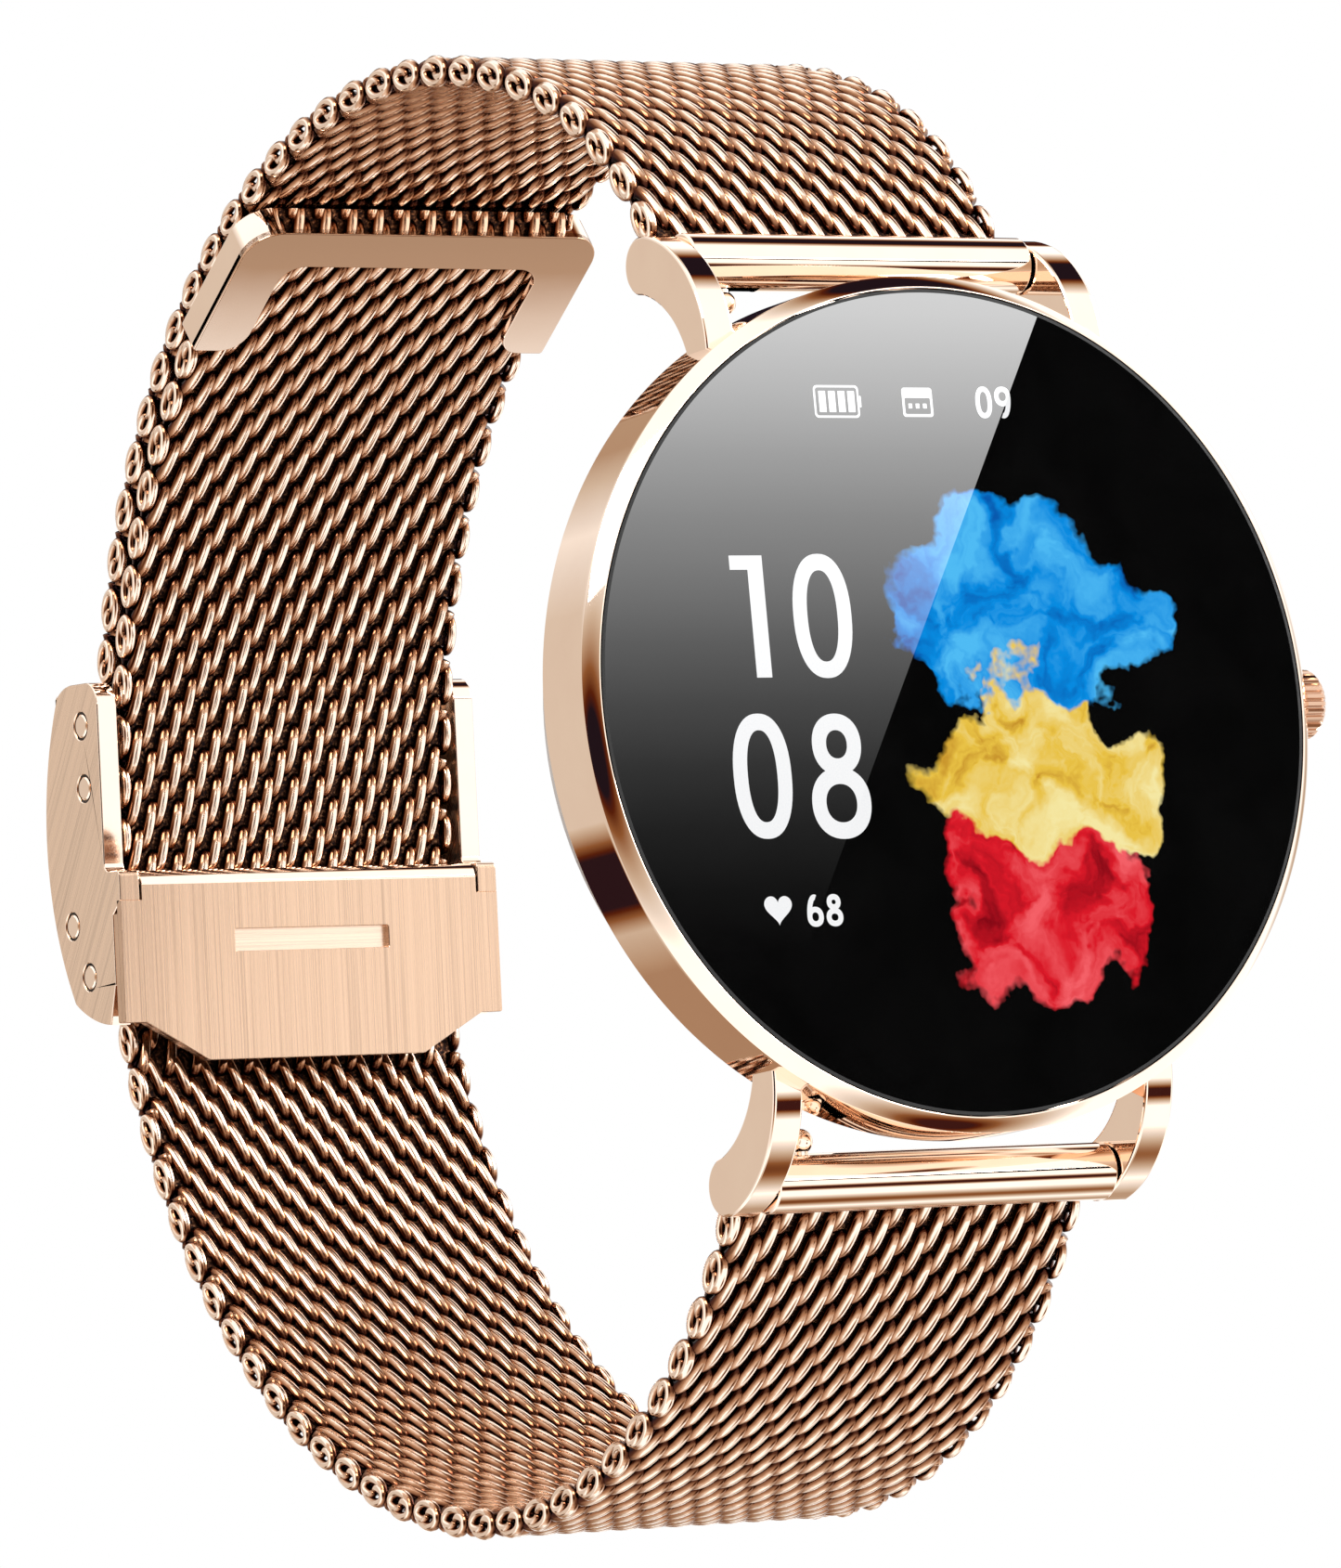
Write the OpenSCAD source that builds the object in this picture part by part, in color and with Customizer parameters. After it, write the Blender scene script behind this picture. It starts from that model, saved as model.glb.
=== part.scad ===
// Round smartwatch on a closed wire-mesh wristband with a folding clasp.
// +X towards 3 o'clock, +Y from the dial into the wrist, +Z towards 12 o'clock.
// The origin is the centre of the case's wrist-side face. All lengths are millimetres.

/* [Case] */
// outside diameter of the case
case_d = 42; // [40:0.5:44]
// depth of the case from the glass to the wrist-side face
case_t = 9.2; // [8.8:0.1:10]
// diameter of the cover glass
glass_d = 40.4; // [38.4:0.5:40.4]
// depth of the straight polished side wall
wall_h = 3.6; // [3:0.1:4]

/* [Lugs] */
// clear width between the lugs
lug_gap = 19.9; // [19.7:0.1:20.3]
// thickness of each lug
lug_t = 1.65; // [1.4:0.05:2]
// height of the spring bars above and below the centre
bar_z = 22.6; // [22.4:0.1:22.7]
// depth of the spring bars behind the glass
bar_depth = 6; // [5.9:0.05:6.1]
// outside diameter of the end tubes
tube_d = 2.84; // [2.7:0.02:3]

/* [Crown] */
// diameter of the crown
crown_d = 3.5; // [3:0.1:4]
// how far the crown stands out of the case
crown_out = 2.1; // [1.6:0.1:2.4]
// push travel of the crown
crown_travel = 0.4; // [0.3:0.05:0.5]

/* [Band] */
// width of the mesh band
mesh_w = 20.3; // [19.8:0.1:20.4]
// thickness of the mesh band
mesh_t = 1.55; // [1.4:0.05:1.6]
// outside radius of the lower half of the loop
loop_r = 37.4; // [37.3:0.1:37.5]
// centre of the lower half behind the case's wrist-side face
loop_y = 22.3; // [22.2:0.1:22.4]

/* [Clasp] */
// width over the clasp's cheeks
clasp_w = 23.3; // [23.2:0.1:24]
// height of the clasp's cheeks
clasp_h = 18.3; // [18:0.1:18.6]
// slant of the clasp from upright, in degrees
clasp_tilt = 4.5; // [4:0.5:5]
// diameter of the rivet heads in the cheeks
rivet_d = 1.46; // [1.2:0.02:1.6]

/* [Hidden] */
eps = 0.01;
gap = 0.08;                       // clearance between pieces fixed together
fit = 0.06;                       // radial running clearance
round_fn = 96;
small_fn = 40;

case_r = case_d / 2;
glass_r = glass_d / 2;
front_y = -case_t;                // front face of the glass
rim_r = glass_r + 0.1;            // inner edge of the bezel ring
bevel = 0.6;                      // depth of the bezel's chamfer
seat_y = front_y + 0.85;          // where the bezel ring sits on the case
wall_y = front_y + bevel + wall_h;
cavity_r = case_r - 1.8;
back_r = 16.3;
screw_ring = 17.2;                // radius the back's screws sit on

bar_y = front_y + bar_depth;
tube_r = tube_d / 2;
lug_in = lug_gap / 2;
tip_r = 0.42;                     // spring-bar tips
barrel_r = 0.86;
barrel_bore = 0.56;
tube_bore = 0.94;
tube_end = lug_in - 0.1;          // ends of the end tubes
knob_x = -7.6;
slot_travel = 1.4;                // how far a quick-release knob slides
pin_r = 0.3;                      // shank of a quick-release pin

crown_y = front_y + 3.1;
stem_r = 0.8;
clip_r = 1.05;                    // retaining clip on the crown's stem
crown_base = case_r + 0.45;

mesh_h = mesh_w / 2;
arc_mid = loop_r - mesh_t / 2;    // middle of the lower half's mesh
upper_y = loop_y + 1.35;          // centre of the upper half and of the tail inside it
upper_z = 2.1;
upper_r = loop_r - 1.85;
upper_mid = upper_r - mesh_t / 2;
tail_mid = upper_r - 2.57;
// bend next to the case: [loop centre y, z, loop radius, where it starts, its radius, where it ends]
upper_root = [upper_y, upper_z, upper_r, 115, 22, 154.6];
lower_root = [loop_y, 0, loop_r, 85, 28, 151.2];
line_a = 9;                       // direction the tail faces inside the clasp
line_d = tail_mid + (upper_y - loop_y) * cos(line_a) + upper_z * sin(line_a);
line_up = upper_z * cos(line_a) - (upper_y - loop_y) * sin(line_a);
bend_r = 12;                      // bend of the tail below the clasp
bend_a = acos((line_d - bend_r) / (arc_mid - bend_r));
line_l = (arc_mid - bend_r) * sin(bend_a) + line_up;
low_a = line_a - bend_a;

clasp_y = 57.1;
clasp_z = 2;
cheek_t = 1.2;
cheek_in = clasp_w / 2 - cheek_t;
hinge_v = 2.6;                    // cover hinge, out from the clasp's middle
hinge_u = -3.7;
lock_v = -2;                      // lock plate's hinge, in its rolled upper edge
lock_u = -1.75;
lock_roll = 0.75;                 // outside radius of the roll
lock_top = -2.62;                 // where the plate widens over the cheeks
lock_pin_r = 0.3;
hook_a0 = -2.2;                    // the hook bar's lower edge
hook_a1 = -0.5;
ferrule_a0 = 11.4;
ferrule_a1 = 14.2;
keeper_a = 57;                    // direction the keeper faces
keeper_up = 1.2;                  // its middle, along the tail from there
keeper_h = 8.9;
keeper_w = 21.4;
keeper_end = 8.4;                 // end of the tail past that direction, in degrees

rose = [0.86, 0.62, 0.50];
rose_light = [0.90, 0.68, 0.56];
steel = [0.75, 0.75, 0.77];
black = [0.03, 0.03, 0.04];
board = [0.08, 0.25, 0.14];
grey = [0.35, 0.35, 0.37];
gold = [0.85, 0.68, 0.30];

// ---------- shared shapes ----------

// a cylinder along X between two x values, centred on (y, z)
module rod(y, z, r, x0, x1, fn = small_fn) {
    translate([x0, y, z]) rotate([0, 90, 0]) cylinder(r = r, h = x1 - x0, $fn = fn);
}

// a cylinder along Y between two y values, centred on (x, z)
module post(x, z, r, y0, y1, fn = small_fn) {
    translate([x, y0, z]) rotate([-90, 0, 0]) cylinder(r = r, h = y1 - y0, $fn = fn);
}

// a box between two corners
module block(a, b) {
    translate(a) cube(b - a);
}

// a ring about the case's axis from radius r0 to r1 and depth y0 to y1
module ring(r0, r1, y0, y1) {
    rotate([-90, 0, 0]) rotate_extrude($fn = round_fn) translate([r0, y0]) square([r1 - r0, y1 - y0]);
}

// a slab bent about an axis along X through (cy, cz), between two angles from +Y
module bent(cy, cz, r0, r1, a0, a1, w, x = 0) {
    translate([x - w / 2, cy, cz]) rotate([90, 0, 90]) rotate([0, 0, a0])
        rotate_extrude(angle = a1 - a0, $fn = round_fn) translate([r0, 0]) square([r1 - r0, w]);
}

// a slab of mesh about the lower or the upper half's centre
module mesh_arc(mid, a0, a1) {
    bent(loop_y, 0, mid - mesh_t / 2, mid + mesh_t / 2, a0, a1, mesh_w);
}

module upper_arc(mid, a0, a1) {
    bent(upper_y, upper_z, mid - mesh_t / 2, mid + mesh_t / 2, a0, a1, mesh_w);
}

// centre of the bend next to the case
function root_y(q) = q[0] + (q[2] - q[4]) * cos(q[3]);
function root_z(q) = q[1] + (q[2] - q[4]) * sin(q[3]);

// places its children in the clasp's own frame: +Y outwards, +Z up the band
module in_clasp() {
    translate([0, clasp_y, clasp_z]) rotate([clasp_tilt, 0, 0]) children();
}

// ---------- case ----------

module lug(side, up) {
    front_r = 6.56;
    back_cut = 5.47;
    bulb = 1.45;
    z1 = 17.63;
    z2 = 15.94;
    x0 = side > 0 ? lug_in : -lug_in - lug_t;
    x1 = x0 + lug_t;
    scale([1, 1, up]) {
        difference() {
            intersection() {
                rod(front_y + 8.13, z1, front_r, x0, x1, round_fn);
                block([x0 - 1, front_y, 15.5], [x1 + 1, front_y + 6.9, 26]);
            }
            rod(front_y + 8.75, z2, back_cut, x0 - 1, x1 + 1, round_fn);
        }
        rod(front_y + 6.9, 22.55, bulb, x0, x1);
    }
}

module case_body() color(rose) {
    difference() {
        union() {
            rotate([-90, 0, 0]) rotate_extrude($fn = round_fn) polygon([
                [cavity_r, seat_y], [case_r, seat_y], [case_r, wall_y], [case_r - 0.8, wall_y + 0.9],
                [case_r - 2.6, wall_y + 2.2], [case_r - 3, -0.9], [back_r, -0.9], [back_r, -1.9],
                [cavity_r - 1.9, -1.9], [cavity_r, -3.4]]);
            for (side = [-1, 1]) for (up = [-1, 1]) difference() {
                lug(side, up);
                post(0, 0, cavity_r + 0.4, front_y - 1, 1, round_fn);
            }
        }
        for (up = [-1, 1]) for (side = [-1, 1])
            rod(bar_y, up * bar_z, tip_r + fit, side * lug_in - (side < 0 ? 1.1 : 0.5),
                side * lug_in + (side < 0 ? 0.5 : 1.1));
        rod(crown_y, 0, 1.25, cavity_r - 1, case_r + 1);
        for (a = [45, 135, 225, 315])
            post(screw_ring * cos(a), screw_ring * sin(a), 0.45, -3, 0);
    }
}

module bezel_ring() color(rose_light)
    rotate([-90, 0, 0]) rotate_extrude($fn = round_fn) polygon([
        [rim_r, front_y], [rim_r + 0.18, front_y], [case_r, front_y + bevel],
        [case_r, seat_y - eps], [rim_r, seat_y - eps]]);

module cover_glass() color(black)
    rotate([-90, 0, 0]) rotate_extrude($fn = round_fn) polygon([
        [0, front_y], [glass_r - 0.12, front_y], [glass_r, front_y + 0.12],
        [glass_r, front_y + 0.8], [0, front_y + 0.8]]);

module display_gasket() color(black)
    ring(cavity_r - 0.45, cavity_r - gap, seat_y + gap, seat_y + 0.7);

module display_panel() color(grey)
    post(0, 0, cavity_r - 0.6, seat_y + gap, seat_y + 1.1, round_fn);

module inner_frame() color(black) {
    y0 = seat_y + 1.2;
    difference() {
        post(0, 0, cavity_r - 0.3, y0, y0 + 0.5, round_fn);
        post(0, 0, 5, y0 - 1, y0 + 1);
        block([cavity_r - 5.2, y0 - 1, -2.6], [cavity_r + 1, y0 + 1, 2.6]);
    }
}

module battery() color(steel) difference() {
    y0 = seat_y + 1.9;
    intersection() {
        post(0, 0, cavity_r - 0.8, y0, y0 + 2.9, round_fn);
        block([-13, y0 - 1, -17], [13, y0 + 4, 3]);
    }
    block([5.2, y0 - 1, -17.5], [14, y0 + 4, -9]);
}

module main_board() color(board) {
    y0 = seat_y + 1.9;
    difference() {
        intersection() {
            post(0, 0, cavity_r - 0.8, y0, y0 + 0.7, round_fn);
            block([-17, y0 - 1, 3.3], [13.4, y0 + 4, 18]);
        }
        for (x = [-9, 9]) post(x, 12.5, 0.7, y0 - 1, y0 + 2);
    }
}

module processor_shield() color(steel)
    block([-6, seat_y + 2.62, 5], [4, seat_y + 4.1, 13]);

module board_connector() color(black)
    block([5.4, seat_y + 2.62, 6], [10.4, seat_y + 3.6, 8]);

module vibration_motor() color(steel) {
    y0 = seat_y + 1.9;
    post(9.2, -12.8, 3, y0, y0 + 2.6);
    block([5.8, y0, -10.4], [8.4, y0 + 1.2, -9.6]);
}

module crown_switch() color(grey) {
    block([cavity_r - 4.9, crown_y - 1.1, -1.6], [cavity_r - 3.3, crown_y + 1.1, 1.6]);
    rod(crown_y, 0, 0.6, cavity_r - 3.4, cavity_r - 3);
}

module crown_tube() color(steel) difference() {
    union() {
        rod(crown_y, 0, 1.2, cavity_r - 0.4, case_r - 0.05);
        rod(crown_y, 0, clip_r, cavity_r - 1.05, cavity_r - 0.3);
    }
    rod(crown_y, 0, stem_r + fit, cavity_r - 2, case_r + 1);
}

module crown_stem() color(steel) difference() {
    rod(crown_y, 0, stem_r, cavity_r - 2.5, crown_base + 0.9);
    difference() {
        rod(crown_y, 0, stem_r + 1, cavity_r - 1.5, cavity_r - 1);
        rod(crown_y, 0, 0.5, cavity_r - 2, cavity_r);
    }
    difference() {
        rod(crown_y, 0, stem_r + 1, case_r - 1, case_r - 0.6);
        rod(crown_y, 0, 0.5, case_r - 2, case_r);
    }
}

module crown_clip() color(steel) difference() {
    rod(crown_y, 0, clip_r, cavity_r - 1.4, cavity_r - 1.1);
    rod(crown_y, 0, 0.5 + fit, cavity_r - 2, cavity_r);
    block([cavity_r - 2, crown_y - 0.56, 0], [cavity_r, crown_y + 0.56, 2]);
}

module crown_oring() color(black) translate([case_r - 0.8, crown_y, 0]) rotate([0, 90, 0])
    rotate_extrude($fn = round_fn) translate([0.66, 0]) circle(r = 0.14, $fn = small_fn);

module crown_cap() color(rose) {
    x1 = case_r + crown_out;
    grooves = 28;
    difference() {
        union() {
            rod(crown_y, 0, crown_d / 2 - 0.25, crown_base, x1 - 0.2, round_fn);
            rod(crown_y, 0, crown_d / 2, crown_base + 0.25, x1 - 0.45, round_fn);
            translate([x1 - 0.45, crown_y, 0]) rotate([0, 90, 0])
                cylinder(r1 = crown_d / 2, r2 = crown_d / 2 - 0.45, h = 0.45, $fn = round_fn);
        }
        rod(crown_y, 0, stem_r + 0.01, crown_base - 1, crown_base + 0.95);
        for (i = [1 : grooves]) rotate_about_crown(i * 360 / grooves)
            rod(crown_y, crown_d / 2 + 0.04, 0.12, crown_base - 1, x1 + 1, 24);
    }
}

module rotate_about_crown(a) {
    translate([0, crown_y, 0]) rotate([a, 0, 0]) translate([0, -crown_y, 0]) children();
}

module back_gasket() color(black)
    ring(back_r - 0.5, back_r - gap, -1.86, -1.2);

module back_cover() color(steel) difference() {
    union() {
        post(0, 0, back_r - 0.6, -1.9, -1.1, round_fn);
        post(0, 0, 18, -0.86, 0, round_fn);
        post(0, 0, back_r - gap, -1.15, -0.8, round_fn);
    }
    for (a = [45, 135, 225, 315]) {
        post(screw_ring * cos(a), screw_ring * sin(a), 0.4, -3, 1);
    }
    post(0, 0, 6.1, -3, 1, round_fn);
    for (x = [-1.4, 1.4]) post(x, -10.5, 0.85, -3, 1);
}

module back_screws() color(steel) for (a = [45, 135, 225, 315])
    post(screw_ring * cos(a), screw_ring * sin(a), 0.36, -2.2, -0.1);

module sensor_board() color(board)
    post(0, 0, 7.4, -3.1, -2.5, round_fn);

module sensor_leds() color(gold) {
    block([-0.6, -2.45, -0.6], [0.6, -1.7, 0.6]);
    for (z = [-3, 3]) block([-1, -2.45, z - 0.8], [1, -1.8, z + 0.8]);
}

module sensor_window() color(black)
    post(0, 0, 6, -1.2, 0, round_fn);

module charging_pins() color(gold) for (x = [-1.4, 1.4]) {
    post(x, -10.5, 0.75, -1.6, -0.05);
    post(x, -10.5, 0.4, -2.6, -1.55);
}

// ---------- end tubes and spring bars ----------

module end_tube(q) {
    dy = bar_y - root_y(q);
    dz = bar_z - root_z(q);
    fin_r = norm([dy, dz]) - 1.1;
    difference() {
        union() {
            rod(bar_y, bar_z, tube_r, -tube_end, tube_end, round_fn);
            bent(root_y(q), root_z(q), q[4] - mesh_t + 0.2, fin_r, q[5] + 0.2, atan2(dz, dy) + 1, 17.6);
        }
        rod(bar_y, bar_z, tube_bore, -tube_end - 1, tube_end + 1, round_fn);
        block([knob_x - 0.5, bar_y - 0.5, bar_z - 3], [knob_x + slot_travel + 0.5, bar_y + 0.5, bar_z]);
    }
}

module bar_barrel() {
    x0 = knob_x - 1;
    difference() {
        union() {
            rod(bar_y, bar_z, barrel_r, x0, 8.9);
            rod(bar_y, bar_z, tip_r, 8.8, lug_in + 0.95);
        }
        rod(bar_y, bar_z, barrel_bore, x0 - 1, knob_x + 6);
        block([x0 - 1, bar_y - 0.45, bar_z - 3], [knob_x + slot_travel + 0.5, bar_y + 0.45, bar_z]);
    }
}

module bar_tip() difference() {
    union() {
        rod(bar_y, bar_z, tip_r, -lug_in - 0.95, knob_x - 0.6);
        rod(bar_y, bar_z, barrel_bore - fit, knob_x - 0.7, knob_x + 3);
    }
    translate([knob_x, bar_y, bar_z - 2]) cylinder(r = pin_r + eps, h = 1.9, $fn = small_fn);
}

module release_pin() {
    z0 = bar_z - tube_r - 0.62;
    translate([knob_x, bar_y, z0]) cylinder(r = pin_r, h = tube_r + 0.5, $fn = small_fn);
    translate([knob_x, bar_y, z0]) sphere(r = 0.62, $fn = small_fn);
}

module upside_down() {
    mirror([0, 0, 1]) children();
}

module upper_end_tube() color(rose_light) end_tube(upper_root);
module lower_end_tube() color(rose_light) upside_down() end_tube(lower_root);
module upper_bar_barrel() color(steel) bar_barrel();
module lower_bar_barrel() color(steel) upside_down() bar_barrel();
module upper_bar_tip() color(steel) bar_tip();
module lower_bar_tip() color(steel) upside_down() bar_tip();
module upper_release_pin() color(rose) release_pin();
module lower_release_pin() color(rose) upside_down() release_pin();

// ---------- mesh band ----------

module mesh_root(q) {
    bent(root_y(q), root_z(q), q[4] - mesh_t, q[4], q[3], q[5], lug_gap - 0.2);
}

module upper_mesh_root() color(rose) mesh_root(upper_root);
module upper_mesh_a() color(rose) upper_arc(upper_mid, 80, upper_root[3]);
module upper_mesh_b() color(rose) upper_arc(upper_mid, 46, 80);
module upper_mesh_c() color(rose) upper_arc(upper_mid, ferrule_a1, 46);

module lower_mesh_root() color(rose) upside_down() mesh_root(lower_root);
module lower_mesh_a() color(rose) mesh_arc(arc_mid, -lower_root[3], -62);
module lower_mesh_b() color(rose) mesh_arc(arc_mid, -62, -38);
module lower_mesh_c() color(rose) mesh_arc(arc_mid, -38, low_a);

// the short bend below the clasp, and the tail's straight run through it
module tail_bend() color(rose) {
    cy = loop_y + (arc_mid - bend_r) * cos(low_a);
    cz = (arc_mid - bend_r) * sin(low_a);
    bent(cy, cz, bend_r - mesh_t / 2, bend_r + mesh_t / 2, low_a, line_a, mesh_w);
}

module tail_straight() color(rose) translate([0, upper_y, upper_z]) rotate([line_a, 0, 0])
    block([-mesh_h, tail_mid - mesh_t / 2, -line_l], [mesh_h, tail_mid + mesh_t / 2, 0]);

module tail_mesh_a() color(rose) upper_arc(tail_mid, line_a, 36);
module tail_mesh_b() color(rose) upper_arc(tail_mid, 36, keeper_a + keeper_end - 0.02);

// the stop at the tail's free end: a three-sided plate with turned-over sides
module keeper() color(rose_light) {
    v1 = tail_mid - mesh_t / 2 - 0.12;
    v0 = v1 - 0.6;
    w = keeper_w / 2;
    low = keeper_up - keeper_h / 2;
    high = keeper_up + keeper_h / 2;
    arm = 2.9;
    bar = 2.5;
    translate([0, upper_y, upper_z]) rotate([keeper_a, 0, 0]) difference() {
        union() {
            block([-w, v0, low], [w, v1 + 0.1, high]);
            for (s = [-1, 1])
                block([s * w - (s > 0 ? 0.7 : 0), v0, low], [s * w + (s < 0 ? 0.7 : 0), v1 + 1.35, high]);
            block([-w, v0, high - 0.6], [w, v1 + 1.3, high]);
        }
        bent(0, 0, v1 + 0.08, v1 + 3, -12, keeper_end, mesh_w + 0.2);
        block([-w + arm, v0 - 1, low - 1], [w - arm, v1 + 0.12, high - bar]);
        block([-w + 0.7, v1, low - 1], [w - 0.7, v1 + 3, high - 0.6]);
        for (s = [-1, 1]) difference() {
            block([s > 0 ? w - 1.6 : -w - 1, v0 - 1, high - 1.6], [s > 0 ? w + 1 : -w + 1.6, v1 + 3, high + 1]);
            post(s * (w - 1.6), high - 1.6, 1.6, v0 - 2, v1 + 4);
        }
    }
}

// ---------- hook on the upper half's free end ----------

module hook_ferrule() color(rose_light)
    bent(upper_y, upper_z, upper_r - mesh_t - 0.05, upper_r + 0.05, ferrule_a0, ferrule_a1 - 0.02,
        mesh_w - 0.2);

module hook_bar() color(steel) {
    r0 = upper_r - 0.85;
    r1 = upper_r + 0.1;
    for (s = [-1, 1]) bent(upper_y, upper_z, r0, r1, hook_a0, ferrule_a0 - 0.02, 1.2, s * 7.6);
    bent(upper_y, upper_z, r0, r1, hook_a0, hook_a1, 16.2);
}

// ---------- clasp ----------

// outline of one cheek, between two x values, in the clasp's frame
module cheek(x0, x1) {
    top = 9.15;
    bottom = clasp_h - top;
    inner_low = -2.75;
    inner_top = -1.14;
    step_u = -1.0;
    intersection() {
        difference() {
            block([x0, inner_low, -bottom], [x1, 5.1, top]);
            block([x0 - 1, inner_low - 1, step_u], [x1 + 1, inner_top, top + 1]);
            lock_profile(x0 - 1, x1 + 1, 0.06);
        }
        rod(-11.9, 0.9, 17, x0 - 1, x1 + 1, round_fn);
        union() {
            rod(-2.75 + 6.2 - 5, -bottom + 7.6, 7.6, x0 - 1, x1 + 1, round_fn);
            block([x0 - 1, inner_low - 1, -bottom + 5.6], [x1 + 1, 6, top + 1]);
            block([x0 - 1, inner_low - 1, -bottom - 1], [x1 + 1, -1.2, 0]);
        }
        union() {
            rod(1.65, top - 2.6, 2.6, x0 - 1, x1 + 1, round_fn);
            rod(-1.14 + 1.2, top - 1.2, 1.2, x0 - 1, x1 + 1, round_fn);
            block([x0 - 1, inner_low - 1, -bottom - 1], [x1 + 1, 6, top - 2.6]);
            block([x0 - 1, inner_top, top - 3], [x1 + 1, 1.65, top - 1.2]);
            block([x0 - 1, 0.06, top - 3], [x1 + 1, 1.65, top]);
        }
    }
}

rivets_vu = [[0.74, 6.9], [0.68, 3.56], [0.99, -6.5]];

module clasp_frame() color(rose_light) in_clasp() difference() {
    union() {
        cheek(-clasp_w / 2, -cheek_in);
        cheek(cheek_in, clasp_w / 2);
        block([-cheek_in - 0.1, 1.9, -8.6], [cheek_in + 0.1, 2.5, -6]);
    }
    for (p = rivets_vu) rod(p[0], p[1], rivet_d / 2 + 0.01, -clasp_w, clasp_w);
    rod(hinge_v, hinge_u, rivet_d / 2 + 0.01, -clasp_w, clasp_w);
    rod(lock_v, lock_u, lock_pin_r + eps, -cheek_in - 0.61, cheek_in + 0.61);
}

module clasp_rivets() color(rose_light) in_clasp()
    for (p = rivets_vu) for (s = [-1, 1])
        rod(p[0], p[1], rivet_d / 2, s > 0 ? cheek_in + 0.1 : -clasp_w / 2 - 0.06,
            s > 0 ? clasp_w / 2 + 0.06 : -cheek_in - 0.1);

module cover_hinge_pins() color(rose_light) in_clasp() for (s = [-1, 1]) {
    rod(hinge_v, hinge_u, rivet_d / 2, s > 0 ? cheek_in + 0.1 : -clasp_w / 2 - 0.06,
        s > 0 ? clasp_w / 2 + 0.06 : -cheek_in - 0.1);
    rod(hinge_v, hinge_u, 0.4, s > 0 ? 8.6 : -cheek_in - 0.11, s > 0 ? cheek_in + 0.11 : -8.6);
}

// the pin the lock plate turns on
module lock_pin() color(steel) in_clasp()
    rod(lock_v, lock_u, lock_pin_r, -cheek_in - 0.6, cheek_in + 0.6);

// side view of the plate's wide part, whose slanted top edge lets it swing clear of the cheeks
module lock_profile(x0, x1, grow) {
    low = -2.75 - 10 * grow;
    high = -1.95 + grow;
    translate([x0, 0, 0]) rotate([90, 0, 90]) linear_extrude(height = x1 - x0)
        polygon([[low, lock_top + 11 * grow], [low, -9.1 - 10 * grow], [high, -9.1 - 10 * grow],
            [high, lock_top - 0.8 + 0.7 * grow]]);
}

module lock_plate() color(rose) in_clasp() difference() {
    w = clasp_w / 2;
    roll = cheek_in - 0.1;
    union() {
        lock_profile(-w, w, 0);
        block([-roll, -2.75, -4], [roll, -1.95, lock_u]);
        rod(lock_v, lock_u, lock_roll, -roll, roll);
        translate([0, -1.95, 0]) rotate([90, 0, 0]) linear_extrude(height = 0.8)
            polygon([[-w + 1.3, -9.05], [w - 1.3, -9.05], [w - 5, -11.2], [-w + 5, -11.2]]);
        block([-roll + 1.5, -2, -7.9], [roll - 1.5, -0.6, -7.3]);
    }
    rod(lock_v, lock_u, lock_pin_r + fit, -clasp_w, clasp_w);
    block([-4.8, -4, -5.4], [4.3, -2.35, -4.2]);
}

module clasp_cover() color(rose_light) in_clasp() difference() {
    w = cheek_in - 0.15;
    union() {
        block([-w, 2.95, -3.6], [w, 3.75, 7.4]);
        for (s = [-1, 1]) {
            rod(hinge_v, hinge_u, 0.95, s > 0 ? w - 1.4 : -w, s > 0 ? w : -w + 1.4);
            block([s > 0 ? w - 1.4 : -w, 2.2, -3.7], [s > 0 ? w : -w + 1.4, 3.55, -2.4]);
        }
    }
    rod(hinge_v, hinge_u, 0.4 + fit, -clasp_w, clasp_w);
}

module cover_claw() color(steel) in_clasp()
    block([-6, 1.75, 2.75], [6, 2.94, 3.7]);

case_body();
bezel_ring();
cover_glass();
display_gasket();
display_panel();
inner_frame();
battery();
main_board();
processor_shield();
board_connector();
vibration_motor();
crown_switch();
crown_tube();
crown_clip();
crown_stem();
crown_oring();
crown_cap();
back_gasket();
back_cover();
back_screws();
sensor_board();
sensor_leds();
sensor_window();
charging_pins();
upper_end_tube();
upper_bar_barrel();
upper_bar_tip();
upper_release_pin();
upper_mesh_root();
upper_mesh_a();
upper_mesh_b();
upper_mesh_c();
hook_ferrule();
hook_bar();
lower_end_tube();
lower_bar_barrel();
lower_bar_tip();
lower_release_pin();
lower_mesh_root();
lower_mesh_a();
lower_mesh_b();
lower_mesh_c();
tail_bend();
tail_straight();
tail_mesh_a();
tail_mesh_b();
keeper();
clasp_frame();
clasp_rivets();
lock_pin();
lock_plate();
cover_hinge_pins();
clasp_cover();
cover_claw();
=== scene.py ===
"""Looks of a round rose-gold smartwatch on a closed wire-mesh band with a folding clasp."""
import math

import bmesh
import bpy
import numpy as np
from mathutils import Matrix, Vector
from mathutils.geometry import tessellate_polygon


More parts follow.
